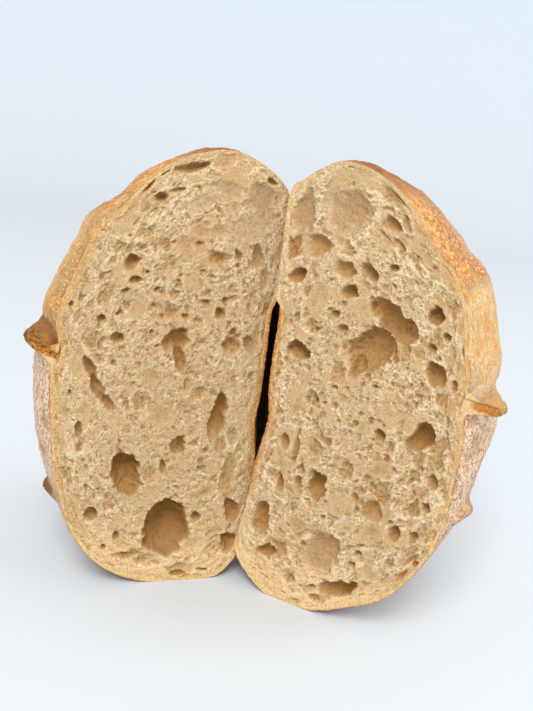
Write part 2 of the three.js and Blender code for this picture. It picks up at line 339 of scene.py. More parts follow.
LEFT = HalfPlan(
    node="left_half", side=-1, yaw=19.0, place=(0.6, -17.7, -3.4), centre=(42.0, 118.0),
    bulge=(0.125, 105.0, 85.0), opening=(138.0, 204.0, -0.6, 7.0), ridges=1.0, char=1.0, core=-3.0,
    outline=((5, 18), (4, 40), (1, 60), (1.5, 78), (4, 97), (3, 115), (3, 145), (2.9, 161),
             (0.5, 168), (0, 180), (0, 205), (1.5, 222), (14, 234), (33, 241), (54, 237),
             (72, 226), (84, 212), (97, 201), (103, 184), (112, 160), (114, 149), (111.5, 135),
             (115, 120), (113, 90), (108, 60), (98, 32), (82, 13), (60, 3), (36, 0), (16, 4)),
    corners=((9, 8), (6, 228), (84, 212), (90, 22)),
    ears=(Ear(138, 0.0, 60, 15, 10.5, 0.5, 0.62),
          Ear(50, 12, 34, 4.5, 4.5, 0.0, 0.8, whole=True, scorch=0.8)),
    holes=(
        Hole(48, 34, 17.5, 13.5, 80, 15), Hole(72, 68, 12.5, 7.5, 76, 12), Hole(25, 100, 14, 4, -82, 12),
        Hole(53, 141, 8, 6, -20, 7, SOFT), Hole(49.5, 133, 8, 3, 76, 6),
        Hole(95.5, 125, 7, 2.6, 64, 6), Hole(91, 116, 7.5, 2.9, 66, 7), Hole(85, 107, 6, 2.3, 52, 5),
        Hole(83, 142, 4, 2.5, -3, 6), Hole(92, 152, 3, 2, -24, 5), Hole(79, 182, 5, 3, -53, 7),
        Hole(77, 173, 3, 2, -9, 5), Hole(81, 167, 3, 1.4, -24, 4), Hole(65, 169, 2, 1, -24, 3),
        Hole(71, 177, 1, 1, 0, 3), Hole(75, 220, 5, 1.8, -47, 6, TOASTED), Hole(67, 215, 3, 2.6, 0, 5),
        Hole(60, 219, 4.5, 1.2, -15, 4), Hole(54, 231, 10, 2.2, -18, 4),
        Hole(15, 215, 14, 7.5, 66, 2.4, GLOSSY), Hole(36, 221, 11, 6, -6, 2, GLOSSY),
        Hole(11, 228, 3, 2, 0, 4), Hole(35, 187, 4.5, 4, 0, 3, SOFT), Hole(46, 193, 2, 1.5, -24, 3),
        Hole(24, 189, 2, 2, 0, 3), Hole(14, 189, 7.5, 3.2, 82, 4, GLOSSY), Hole(29, 165, 2, 2, 0, 3),
        Hole(31, 158, 3, 2.5, 83, 4), Hole(23, 148, 2.5, 2, -87, 6), Hole(23, 140, 5, 4, 0, 4, SOFT),
        Hole(13, 142, 5.5, 3.5, 54, 4, GLOSSY), Hole(49, 155, 2, 2, 0, 3),
        Hole(58, 156, 7.5, 4, -13, 2, SOFT), Hole(45, 84, 5, 5, 0, 5), Hole(53, 71, 4, 2, 84, 4),
        Hole(99, 92, 5, 2, 86, 5),
        Hole(105, 112, 2, 1, 86, 4), Hole(89, 44, 4, 3.5, 0, 5), Hole(31, 41, 3, 2.5, 84, 4),
        Hole(81, 24, 1.5, 1.5, 0, 3, TOASTED), Hole(75, 30, 3, 2, 85, 4), Hole(70, 18, 6, 2.4, 2, 3),
        Hole(24, 8, 3.5, 1.4, 2, 3), Hole(38, 6, 5, 1.4, 3, 4, TOASTED), Hole(10, 44, 8, 5, 62, 5),
        Hole(11, 25, 7, 4.5, 80, 5), Hole(15, 65, 14, 5, 88, 2, SOFT), Hole(39, 163, 2.5, 1.5, 0, 3),
        Hole(22, 203, 11, 7, 25, 1.6, GLOSSY), Hole(46, 213, 10, 5, -30, 1.4, GLOSSY),
        Hole(9, 176, 8, 3.6, 84, 2.2, GLOSSY), Hole(60, 180, 7, 4, -40, 1.2, SOFT),
    ),
    shoulder=0.0, openness=0.75, lace=0.8, seed=40,
)

RIGHT = HalfPlan(
    node="right_half", side=1, yaw=27.0, place=(0.6, -26.7, -1.8), centre=(36.0, 118.0),
    bulge=(0.145, 136.0, 46.0), opening=(138.0, 198.0, 0.0, 7.0), ridges=0.15, char=0.3, core=5.0,
    outline=((-7, 21), (-6.5, 34), (-4, 53), (-2, 80), (1.5, 104), (-1, 122), (-1, 150),
             (-1.3, 164), (-4, 170), (-4.5, 190), (-5, 222), (3, 232), (21, 243), (43, 239),
             (60, 227.5), (76, 210), (86, 202), (94, 187), (99, 168), (103, 152), (101.5, 141),
             (105.5, 127), (106, 100), (105, 75), (98, 51), (83, 28), (62, 13), (42, 3),
             (22, 0), (5, 8)),
    corners=((-3, 13), (-1, 229), (86, 202), (86, 31)),
    ears=(Ear(141.3, 0.0, 30, 18.6, 9.0, -0.38, 0.7, under=0.4, blunt=0.38),
          Ear(79, 8, 34, 5.5, 7, 0.0, 0.8, whole=True, bare=0.15)),
    holes=(
        Hole(4, 211, 17, 5.6, 83, 3.2, GLOSSY), Hole(1, 197, 7, 2.6, 76, 3, TINTED),
        Hole(27, 219, 14, 10, 38, 3.0, GLOSSY), Hole(51, 218, 5, 2.5, -32, 7),
        Hole(48, 212, 4, 1, -37, 7), Hole(56, 209, 4.5, 1.3, -32, 8), Hole(50, 231, 8, 3.2, -26, 3, SOFT),
        Hole(14, 200, 7, 6, 12, 4, SOFT), Hole(30, 192, 5.5, 4.5, 12, 4, SOFT),
        Hole(44, 193, 5.5, 3, -30, 5), Hole(55, 198, 2.5, 2, 12, 4), Hole(35, 181, 4, 3.5, 13, 6),
        Hole(5, 183, 5, 3, 30, 5),
        Hole(12, 145, 6.5, 5, -14, 9), Hole(29, 168, 2.5, 2, 14, 4), Hole(34, 162, 3.5, 2, 14, 4),
        Hole(60, 172, 15, 6.5, -36, 8), Hole(50.5, 155, 14, 9.5, 56, 8.5, ROUGH),
        Hole(57, 160, 7, 5.5, -30, 6, ROUGH), Hole(45.5, 145, 6.5, 4, 70, 6.5, ROUGH),
        Hole(81, 180, 4.5, 4, -47, 8),
        Hole(86, 152, 6.5, 4, -47, 10), Hole(96, 149, 3, 1.5, -78, 5), Hole(94, 182, 1, 1, 0, 3),
        Hole(88, 171, 2.5, 2, -78, 4), Hole(81, 164, 2.5, 2.5, 0, 4), Hole(64, 113, 4, 3, -79, 9),
        Hole(85, 119, 9.5, 5.5, 68, 13), Hole(95, 98, 4.5, 2.5, -88, 8), Hole(94, 84, 2.5, 2.5, 0, 4),
        Hole(57, 76, 2.5, 1.6, -80, 4), Hole(67, 72, 6, 5.5, 20, 4, SOFT), Hole(35, 76, 8.5, 5, 90, 9),
        Hole(14, 70, 5.5, 2.4, -81, 5), Hole(24, 73, 4, 2.4, -80, 4), Hole(13, 94, 4.5, 2.4, -81, 5),
        Hole(20, 91, 10, 1.5, -86, 6), Hole(6, 45, 12, 5, 89, 5, SOFT), Hole(12, 27, 6.5, 3.5, 22, 6),
        Hole(43, 39, 15, 9.5, 39, 3.8, GLOSSY), Hole(56, 22, 11.5, 4.5, 28, 11), Hole(81, 64, 5, 3, -89, 6),
        Hole(91, 66, 2.5, 2.5, 0, 4), Hole(62, 39, 2.5, 1.5, 22, 3), Hole(64, 47, 2, 1.5, 22, 3),
        Hole(95, 53, 2, 1.5, 22, 4, TOASTED),
    ),
    shoulder=2.0, openness=1.3, lace=0.88, seed=80,
)


# ------------------------------------------------------------------ the form of a half


@dataclass(frozen=True)
class Rim:
    """Points of the cut outline, one array entry each.

    Attributes:
        share: how far round the outline the point lies, from 0 to 1.
        u, w: its place.
        eu, ew: its direction from the centre.
        radius, oval: its distance from the centre, and that of the oval the back turns into.
        curve: how squarely the half is drawn in behind it.
        swell: how much the half bulges behind it.
        join: how far it is moved over to the other half, and seam: where that half begins, as u.
        nu, nw: the outline's outward normal.
    """

    share: Array
    u: Array
    w: Array
    eu: Array
    ew: Array
    radius: Array
    oval: Array
    curve: Array
    swell: Array
    join: Array
    seam: Array
    nu: Array
    nw: Array


@dataclass
class HalfForm:
    """The form that both pieces of a half are made from, with the same sizes as the solids.

    Attributes:
        plan: the half's sizes.
        depth: from the cut face to the back.
        lean, roll: how far the face leans back, and is turned in its own plane, in degrees.
        crown, bottom, lower, upper: how squarely each side is drawn in; 2 is a circle.
        bulge_peak: share of the depth over which the crown side swells and falls again.
        rounding: share of the depth where the outline starts to turn into an oval.
        relief_start, relief_end: depth over which the swells grow, share where they die away.
        swells: low waves of the crust, as height, waves round, half waves back and phase.
        seam, seam_turn: a point of the plane between the halves, and degrees that it turns off Y.
        gap: between each half and that plane.
        closing, parting: depths by which a half has reached the plane, and from which it leaves it.
        ends, top: how far in from the bottom and the top the halves stay square to the cut.
        foot_bend: how softly the flat foot turns up into the crust.
        opening_end: the depth at which the score opening ends.
    """

    plan: HalfPlan
    depth: float = 108.0
    lean: float = 1.0
    roll: float = 1.5
    crown: float = 2.3
    bottom: float = 5.0
    lower: float = 3.4
    upper: float = 2.3
    bulge_peak: float = 0.84
    rounding: float = 0.45
    relief_start: float = 15.0
    relief_end: float = 0.8
    swells: tuple[tuple[float, float, float, float], ...] = (
        (0.7, 5.0, 2.0, 0.4), (0.5, 9.0, 3.1, 1.9), (0.35, 14.0, 4.3, 3.2))
    seam: tuple[float, float] = (3.2, -17.7)
    seam_turn: float = 8.0
    gap: float = 0.4
    closing: float = 45.0
    parting: float = 50.0
    ends: float = 70.0
    top: float = 240.0
    foot_bend: float = 1.6
    opening_end: float = 88.0
    curve: Array = field(init=False)
    length: float = field(init=False)

    STEPS = 60                # points of the fine curve between two points of the outline
    NEAR = 0.0015             # share of the outline over which its tangent is taken

    def __post_init__(self) -> None:
        """Works out the closed outline: cubic stretches that pass through every point, even tangents."""
        points = np.array(self.plan.outline, float)
        count = len(points)
        t = np.linspace(0, count, count * self.STEPS, endpoint=False)
        i = t.astype(int)
        f = (t - i)[:, None]
        before, start, end, after = (points[(i + k) % count] for k in (-1, 0, 1, 2))
        self.curve = 0.5 * (2 * start + (end - before) * f
                            + (2 * before - 5 * start + 4 * end - after) * f**2
                            + (3 * start - before - 3 * end + after) * f**3)
        self.length = float(np.linalg.norm(np.roll(self.curve, -1, 0) - self.curve, axis=1).sum())

    def rim(self, share: Array) -> Rim:
        """The outline at the given shares of its length, with what the form needs at each.

        Args:
            share: how far round the outline each point lies; whole numbers are the same place.

        Returns:
            The points of the outline.
        """
        closed = np.vstack([self.curve, self.curve[:1]])
        run = np.concatenate([[0.0], np.cumsum(np.linalg.norm(np.diff(closed, axis=0), axis=1))])
        run /= run[-1]
        u, w = (np.interp(share % 1.0, run, closed[:, k]) for k in (0, 1))
        ahead, behind = ([np.interp((share + s) % 1.0, run, closed[:, k]) for k in (0, 1)]
                         for s in (self.NEAR, -self.NEAR))
        tu, tw = ahead[0] - behind[0], ahead[1] - behind[1]
        size = np.hypot(tu, tw)
        cu, cw = self.plan.centre
        du, dw = u - cu, w - cw
        radius = np.hypot(du, dw)
        eu, ew = du / radius, dw / radius
        corners = np.array(self.plan.outline, float) - self.plan.centre
        (inside, down), (out, up) = -corners.min(0), corners.max(0)
        oval = 1 / np.hypot(eu / np.where(eu > 0, out, inside), ew / np.where(ew > 0, up, down))
        curve = (np.where(eu > 0, self.crown, self.bottom) * eu**2
                 + np.where(ew > 0, self.upper, self.lower) * ew**2
                 + self.plan.shoulder * np.maximum(eu, 0) * np.maximum(ew, 0) ** 3)
        amount, at, spread = self.plan.bulge
        swell = amount * np.maximum(eu, 0) * np.exp(-(((w - at) / spread) ** 2))
        join = np.where(eu < 0, smooth(w / self.ends) * smooth((self.top - w) / self.ends), 0.0)
        return Rim(share, u, w, eu, ew, radius, oval, curve, swell, join, self.seam_u(w, 0.0),
                   -tw / size, tu / size)

    def turned(self) -> Array:
        """How the half's own axes lie in the row frame: turned by the roll, the lean, then the yaw.

        Returns:
            A three by three matrix, whose columns are those axes.
        """
        side = self.plan.side
        a, b, c = math.radians(-side * self.plan.yaw), math.radians(-self.lean), math.radians(self.roll)
        about_z = np.array([[math.cos(a), -math.sin(a), 0], [math.sin(a), math.cos(a), 0], [0, 0, 1]])
        about_x = np.array([[1, 0, 0], [0, math.cos(b), -math.sin(b)], [0, math.sin(b), math.cos(b)]])
        about_y = np.array([[math.cos(c), 0, math.sin(c)], [0, 1, 0], [-math.sin(c), 0, math.cos(c)]])
        return about_z @ about_x @ about_y

    def seam_u(self, w: Array, d: Array) -> Array:
        """Where the gap on the half's side of the plane between the halves begins.

        Args:
            w, d: heights and depths.

        Returns:
            u at each.
        """
        turn = math.radians(self.seam_turn)
        normal = np.array([math.cos(turn), -math.sin(turn), 0.0])
        along = normal @ self.turned()
        start = normal[:2] @ (np.array(self.seam) - self.plan.place[:2]) + self.plan.side * self.gap
        return self.plan.side * (start - d * along[1] - w * along[2]) / along[0]

    def relief(self, rim: Rim, d: Array) -> Array:
        """How far the crust stands out: a few low waves, less the recess of the score opening.

        Args:
            rim: points of the outline.
            d: depths that broadcast against them.

        Returns:
            A distance for each point, which is 0 at the cut and at the back.
        """
        fade = smooth(d / self.relief_start) * (
            1 - smooth((d / self.depth - self.relief_end) / (1 - self.relief_end)))
        turn = 2 * math.pi * rim.share
        waves = sum(height * np.sin(round_ * turn + phase) * np.cos(back * math.pi * d / self.depth + phase)
                    for height, round_, back, phase in self.swells)
        return fade * (waves - self.plan.opening[2] * self.opened(rim, d))

    def warmth(self, u: Array, w: Array) -> Array:
        """How golden the cut is near the crust: most on the crown side, at the foot and by the slot.

        Args:
            u, w: places on the cut.

        Returns:
            A share for each place, made uneven by noise.
        """
        cu, cw = self.plan.centre
        uneven = 0.35 * Noise(self.plan.seed + 93).layered(u / 9.0, w / 9.0, 2)
        crown = smooth((u - cu - 12) / 25) * (1 - 0.55 * smooth((w - 206) / 20))
        foot = 0.8 * smooth((38 - w) / 24)
        most = np.maximum(np.maximum(crown, foot), 0.9 * self.slotted(u, w))
        return unit(0.2 + 0.65 * most + uneven)

    def slotted(self, u: Array, w: Array) -> Array:
        """1 beside the slot between the halves and 0 off it."""
        beside = smooth((self.plan.centre[0] - 22 - u) / 10)
        return beside * smooth((w - 50) / 20) * smooth((170 - w) / 10)

    def opening_at(self, d: Array) -> tuple[Array, Array]:
        """The lowest and the highest w of the score opening, which meet where it ends.

        Args:
            d: depths.

        Returns:
            Both heights at each depth.
        """
        low, high = self.plan.opening[:2]
        left = np.sqrt(unit(1 - (d / self.opening_end) ** 4))
        return (low + high) / 2 - (high - low) / 2 * left, (low + high) / 2 + (high - low) / 2 * left

    def opened(self, rim: Rim, d: Array) -> Array:
        """1 in the score opening and 0 off it, with soft edges."""
        edge, (low, high) = self.plan.opening[3], self.opening_at(d)
        return np.where(rim.eu > 0, smooth((rim.w - low) / edge) * smooth((high - rim.w) / edge), 0.0)

    def crust(self, rim: Rim, d: Array) -> tuple[Array, Array]:
        """The crust's surface: the outline drawn in towards the centre as the depth grows.

        The share of the radius that is left is (1 - t**n) ** (1/n), with t the share of the depth
        and n the squareness of that side, times the swelling of the crown side. The bottom side is
        first moved along u, over to the plane between the halves, and back from it further on.

        Args:
            rim: points of the outline.
            d: depths that broadcast against them.

        Returns:
            u and w of each point.
        """
        t = np.clip(d / self.depth, 0.0, 1.0)
        drawn = (1 - t**rim.curve) ** (1 / rim.curve)
        swollen = 1 + rim.swell * np.sin(math.pi * np.minimum(t / self.bulge_peak, 1))
        oval = smooth((t - self.rounding) / (1 - self.rounding))
        joined = rim.join * smooth(d / self.closing) * (
            1 - smooth((d - self.parting) / (self.depth - self.parting)))
        slope = self.seam_u(0.0, 1.0) - self.seam_u(0.0, 0.0)
        over = (rim.seam + slope * d - rim.u) * joined * drawn
        radius = ((rim.radius * (1 - oval) + rim.oval * oval) * drawn * swollen
                  + self.relief(rim, d) * (1 - joined))
        return self.plan.centre[0] + rim.eu * radius + over, self.plan.centre[1] + rim.ew * radius

    def inset(self, rim: Rim, d: Array, thickness: float) -> tuple[Array, Array]:
        """The crust's surface, drawn in by a share of the radius that is the thickness at the cut.

        Args:
            rim: points of the outline.
            d: depths that broadcast against them.
            thickness: how far inside the outline it begins, in mm.

        Returns:
            u and w of each point.
        """
        keep = 1 - thickness / rim.radius
        cu, cw = self.plan.centre
        u, w = self.crust(rim, d)
        return cu + (u - cu) * keep, cw + (w - cw) * keep

    def placed(self, u: Array, w: Array, d: Array) -> Array:
        """Points of the half's own axes in the row frame, in metres, none of them below the floor.

        A point that would lie below the floor is moved up along w until it lies on it, with a soft
        bend where the flat foot begins.

        Args:
            u, w, d: the points in millimetres, of any one shape.

        Returns:
            The points, with their three numbers in the last axis.
        """
        side, turn = self.plan.side, self.turned()
        u, w, d = np.broadcast_arrays(u, w, d)
        floor_w = -(self.plan.place[2] + turn[2, 0] * side * u + turn[2, 1] * d) / turn[2, 2]
        local = np.stack([side * u, d, soft_maximum(w, floor_w, self.foot_bend)], -1)
        return (local @ turn.T + np.array(self.plan.place)) * MM


# ------------------------------------------------------------------ meshes


def closed_mesh(name: str, points: Array, quads: Array, triangles: Array,
                layers: dict[str, Array]) -> bpy.types.Object:
    """A closed mesh object from whole arrays, its faces turned outwards.

    The faces point out when the sum of the signed volumes between each face and the origin is
    positive, so all of them are turned round where it is negative.

    Args:
        name: the object's name.
        points: the vertices, in metres.
        quads, triangles: the faces, as rows of vertex numbers.
        layers: one value for each vertex, under each attribute's name.

    Returns:
        The new object, at the origin.
    """
    split = np.concatenate([quads[:, [0, 1, 2]], quads[:, [0, 2, 3]], triangles])
    a, b, c = (points[split[:, k]] for k in range(3))
    if np.einsum("ij,ij->i", a, np.cross(b, c)).sum() < 0:
        quads, triangles = quads[:, ::-1], triangles[:, ::-1]
    mesh = bpy.data.meshes.new(name)
    mesh.vertices.add(len(points))
    mesh.vertices.foreach_set("co", points.astype(np.float32).ravel())
    corners = np.concatenate([quads.ravel(), triangles.ravel()])
    sizes = np.concatenate([np.full(len(quads), 4), np.full(len(triangles), 3)])
    mesh.loops.add(len(corners))
    mesh.loops.foreach_set("vertex_index", corners.astype(np.int32))
    mesh.polygons.add(len(sizes))
    starts = np.concatenate([[0], np.cumsum(sizes)[:-1]])
    mesh.polygons.foreach_set("loop_start", starts.astype(np.int32))
    mesh.polygons.foreach_set("use_smooth", np.ones(len(sizes), bool))
    for layer, values in layers.items():
        attribute = mesh.attributes.new(layer, "FLOAT", "POINT")
        attribute.data.foreach_set("value", values.astype(np.float32).ravel())
    mesh.update(calc_edges=True)
    mesh.validate()
    thing = bpy.data.objects.new(name, mesh)
    bpy.context.scene.collection.objects.link(thing)
    return thing


def band(rows: Array) -> Array:
    """Quads between each two rows of vertex numbers, each row being a closed loop."""
    ahead = np.roll(rows, -1, axis=1)
    return np.stack([rows[:-1], rows[1:], ahead[1:], ahead[:-1]], -1).reshape(-1, 4)


def fan(tip: int, loop: Array, forward: bool) -> Array:
    """Triangles from one vertex to a closed loop of vertices.

    Args:
        tip: the vertex's number.
        loop: the loop's vertex numbers.
        forward: True where the triangles run the same way as the loop.

    Returns:
        The triangles, as rows of vertex numbers.
    """
    ahead = np.roll(loop, -1)
    tips = np.full(len(loop), tip)
    return np.stack([tips, loop, ahead] if forward else [tips, ahead, loop], -1)


# ------------------------------------------------------------------ the crumb


@dataclass(frozen=True)
class Foam:
    """One size of bubbles: cells round scattered points, with thin walls left between them.

    Attributes:
        cell: how far apart the points are, in mm.
        filled: share of the points that have a bubble.
        depth: how deep a bubble is, as a share of the cell.
        lining: share of the bubbles that have a smooth skin.
        reach: how far a bubble extends round its point, in cells.
        seed: what the draws start from.
        steep: 0.5 for a round bottom with steep sides, 1 for a shallow dish.
    """

    cell: float
    filled: float
    depth: float
    lining: float
    reach: float
    seed: int
    steep: float

    ROWS = 256                # cells after which the draws repeat

    def cut(self, u: Array, w: Array, tangent: tuple[Array, Array], stretch: Array,
            patch: Array) -> tuple[Array, Array, Array]:
        """The bubbles that the cut has opened.

        Each place belongs to its nearest point, by distances that are shorter along the grain and
        differ in scale from point to point. What the second nearest distance is more than the
        nearest is 0 on the wall between two cells. The depth is a parabola of it, kept under a
        round cap of the bubble's own reach.

        Args:
            u, w: the places.
            tangent: the direction of the grain at each place.
            stretch: how much longer than wide the bubbles are there.
            patch: a factor on the share of points that have a bubble.

        Returns:
            For each place the depth in mm, how smooth its skin is, and how near it is to a wall.
        """
        rng = np.random.default_rng(self.seed)
        jitter_u, jitter_w, scale, shown, deep, lined = (
            rng.random((self.ROWS, self.ROWS)) for _ in range(6))
        column, row = np.floor(u / self.cell).astype(int), np.floor(w / self.cell).astype(int)
        nearest, second = np.full(u.shape, 9.0), np.full(u.shape, 9.0)
        key_row, key_column = np.zeros(u.shape, int), np.zeros(u.shape, int)
        for dc in (-1, 0, 1):
            for dr in (-1, 0, 1):
                r, c = (row + dr) % self.ROWS, (column + dc) % self.ROWS
                du = u / self.cell - (column + dc + 0.1 + 0.8 * jitter_u[r, c])
                dw = w / self.cell - (row + dr + 0.1 + 0.8 * jitter_w[r, c])
                along = (du * tangent[0] + dw * tangent[1]) / stretch
                across = dw * tangent[0] - du * tangent[1]
                reach = np.hypot(along, across) / (0.7 + 0.6 * scale[r, c])
                closer = reach < nearest
                second = np.where(closer, nearest, np.minimum(second, reach))
                nearest = np.where(closer, reach, nearest)
                key_row = np.where(closer, r, key_row)
                key_column = np.where(closer, c, key_column)
        key = (key_row, key_column)
        bubble = shown[key] < self.filled * patch
        inner = unit((second - nearest) / 0.6)
        dome = unit(1 - (nearest / self.reach) ** 2) ** self.steep
        cap = np.minimum(inner * (2 - inner), dome)
        wall = (1 - smooth(inner / 0.40)) * smooth((self.reach - nearest) / 0.1)
        skin = (lined[key] < self.lining) * smooth(cap / 0.4)
        cap = cap * (0.3 + 1.1 * deep[key] ** 1.5)
        depth = cap * self.depth * self.cell
        return np.where(bubble, depth, 0), np.where(bubble, skin, 0), np.where(bubble, wall, 0)


@dataclass
class Crumb:
    """The soft inside of a half: the cut face with its holes, closed behind by a plain back.

    Attributes:
        form: the half's form.
        across, along: cells of the face's grid across u and along w.
        inset: how far the crumb's edge lies inside the outline.
        ragged: how much that differs from place to place.
        back_inset: how far the back lies inside the crust's surface.
        back_rows: loops of points behind the face.
    """

    form: HalfForm
    across: int = 200
    along: int = 424
    inset: float = 0.55
    ragged: float = 0.35
    back_inset: float = 3.0
    back_rows: int = 5

    FLATTEN = 0.35            # share of the relief that the fine colours follow
    SPREAD = 9.0              # mm between the fine colours' places, for each step of the seed
    SET_BACK = 0.1            # mm between the plane of the cut and the face's highest places
    BACK = 0.97               # share of the depth that the back reaches
    # bubbles: cell, filled, depth, lining, reach, what is added to the seed, and steep
    FOAMS = ((13.0, 0.26, 0.10, 0.4, 0.50, 41, 1.0), (8.6, 0.42, 0.15, 0.3, 0.54, 42, 1.0),
             (5.6, 0.50, 0.19, 0.2, 0.56, 43, 0.8), (3.5, 0.60, 0.22, 0.1, 0.58, 44, 0.8),
             (7.5, 0.30, 0.26, 0.0, 0.20, 47, 0.7),
             (2.3, 0.78, 0.20, 0.0, 0.68, 45, 0.5), (1.6, 0.70, 0.16, 0.0, 0.9, 46, 0.5))
    COARSE = 5                # how many of them are coarse; the rest are dots

    def edge_shares(self) -> list[Array]:
        """Shares of the outline along the four edges of the grid, between its nearest points to the corners.

        Returns:
            The shares on the seam side, at the top, on the crown side and at the foot.
        """
        plan, fine = self.form.plan, self.form.rim(np.linspace(0, 1, 2000, endpoint=False))
        found = [float(fine.share[np.argmin(np.hypot(fine.u - u, fine.w - w))]) for u, w in plan.corners]
        low_seam, high_seam, high_crown, low_crown = found
        if low_seam > high_seam:
            low_seam -= 1.0
        return [np.linspace(low_seam, high_seam, self.along + 1),
                np.linspace(high_seam, high_crown, self.across + 1),
                np.linspace(low_crown, high_crown, self.along + 1),
                np.linspace(low_seam + 1.0, low_crown, self.across + 1)]

    def edge(self, share: Array) -> Array:
        """Places on the crumb's own edge, which lies inside the outline by an inset that noise changes.

        Args:
            share: how far round the outline each place lies.

        Returns:
            The places, with u and w in the last axis.
        """
        rim, seed = self.form.rim(share), self.form.plan.seed
        rough = (Noise(seed + 2, 256).layered(share * 256, share * 0, 3)
                 + 0.8 * Noise(seed + 6, 32).layered(share * 32, share * 0, 2))
        inset = np.clip(self.inset + self.ragged * rough, 0.1, 1.9)
        return np.stack([rim.u - inset * rim.nu, rim.w - inset * rim.nw], -1)

    def face(self) -> tuple[Array, Array]:
        """The face's grid: each place is blended from the four edges, less the blend of the corners.

        Returns:
            u and w of each place.
        """
        seam, top, crown, foot = (self.edge(share) for share in self.edge_shares())
        t = np.linspace(0, 1, self.along + 1)[:, None, None]
        s = np.linspace(0, 1, self.across + 1)[None, :, None]
        corners = ((1 - s) * (1 - t) * seam[0] + (1 - s) * t * seam[-1]
                   + s * (1 - t) * crown[0] + s * t * crown[-1])
        grid = ((1 - s) * seam[:, None] + s * crown[:, None]
                + (1 - t) * foot[None] + t * top[None] - corners)
        return grid[..., 0], grid[..., 1]

    def grain(self, u: Array, w: Array) -> tuple[tuple[Array, Array], Array, Array]:
        """The crumb's grain: it runs round, along the crust, and strongly so near it.

        Args:
            u, w: places on the face.

        Returns:
            The grain's direction, how much longer than wide pores are, and the distance to the edge.
        """
        rim = self.form.rim(np.linspace(0, 1, 720, endpoint=False))
        cu, cw = self.form.plan.centre
        angle = np.arctan2(w - cw, u - cu)
        order = np.argsort(np.arctan2(rim.ew, rim.eu))
        angles = np.arctan2(rim.ew, rim.eu)[order]
        radius, nu, nw = (np.interp(angle, angles, part[order], period=2 * math.pi)
                          for part in (rim.radius, rim.nu, rim.nw))
        reach = np.hypot(u - cu, w - cw) / radius
        size = np.hypot(nu, nw)
        facing = abs(np.cos(angle) * nu + np.sin(angle) * nw) / size
        gap = (1 - reach) * radius * facing - self.inset
        stretch = 1 + 0.5 * smooth((reach - 0.3) / 0.4) + 0.9 * smooth((reach - 0.7) / 0.25)
        return (-nw / size, nu / size), stretch, gap

    def hole_depth(self, u: Array, w: Array) -> tuple[Array, dict[str, Array]]:
        """The large holes: ovals with an edge that noise makes uneven, steep near it and round below.

        Args:
            u, w: places on the face.

        Returns:
            A depth for each place, and how it looks there: gloss, toasting, share of fine crumb,
            the bright lip round a hole as painted highlight, and how high in its hole a place lies, for
            painted shade above and painted light below.
        """
        seed = self.form.plan.seed
        wander = [Noise(seed + k).layered(u / 6.0, w / 6.0) for k in (1, 5)]
        fray = [Noise(seed + k).layered(u / 1.7, w / 1.7, 2) for k in (11, 15)]
        floor = 1 + 0.12 * Noise(seed + 19).layered(u / 5.0, w / 5.0, 2)
        depth = np.zeros(u.shape)
        looks = {name: np.zeros(u.shape) for name in ("gloss", "toast", "lip", "roof_shading")}
        looks["crumb"] = np.ones(u.shape)
        for hole in self.form.plan.holes:
            wide = min(hole.short, 7.0)
            moved = [0.42 * wide * wander[k] + 0.16 * min(wide, 4.0) * fray[k] for k in (0, 1)]
            du, dw = u + moved[0] - hole.u, w + moved[1] - hole.w
            turn = math.radians(hole.turn)
            x = (du * math.cos(turn) + dw * math.sin(turn)) / hole.long
            y = (dw * math.cos(turn) - du * math.sin(turn)) / hole.short
            r = np.hypot(x, y)
            power = 2.0 if hole.kind is HoleKind.SOFT else 3.0
            deepest = min(hole.depth, 1.0 + 1.4 * hole.short)
            slope = np.clip((0.7 * self.form.plan.side * du + 0.7 * dw) / hole.long, -1, 1)
            bowl = deepest * np.sqrt(unit(1 - r**power)) * floor * (1 + 0.45 * slope)
            inside = smooth((1.06 - r) / 0.16)
            deeper = bowl > depth
            depth = np.maximum(depth, bowl)
            for name, most in (("gloss", hole.kind.gloss), ("toast", hole.kind.toast)):
                looks[name] = np.maximum(looks[name], inside * most)
            looks["crumb"] = np.minimum(looks["crumb"], 1 - inside * (1 - hole.kind.crumb))
            # Painted highlight: a bright ring just outside the edge of each large hole.
            rim_width = 1.2 / max(hole.short, 1.0)
            looks["lip"] = np.maximum(looks["lip"], np.exp(-((r - 1 - rim_width) / rim_width) ** 2))
            # Painted shade and light: how high in its hole a place lies, for darker colour at the top and
            # lighter at the bottom.
            high = unit(0.5 + 0.5 * dw / max(hole.short, abs(hole.long * math.sin(turn))))
            looks["roof_shading"] = np.where(deeper, high * inside, looks["roof_shading"])
        return depth, looks

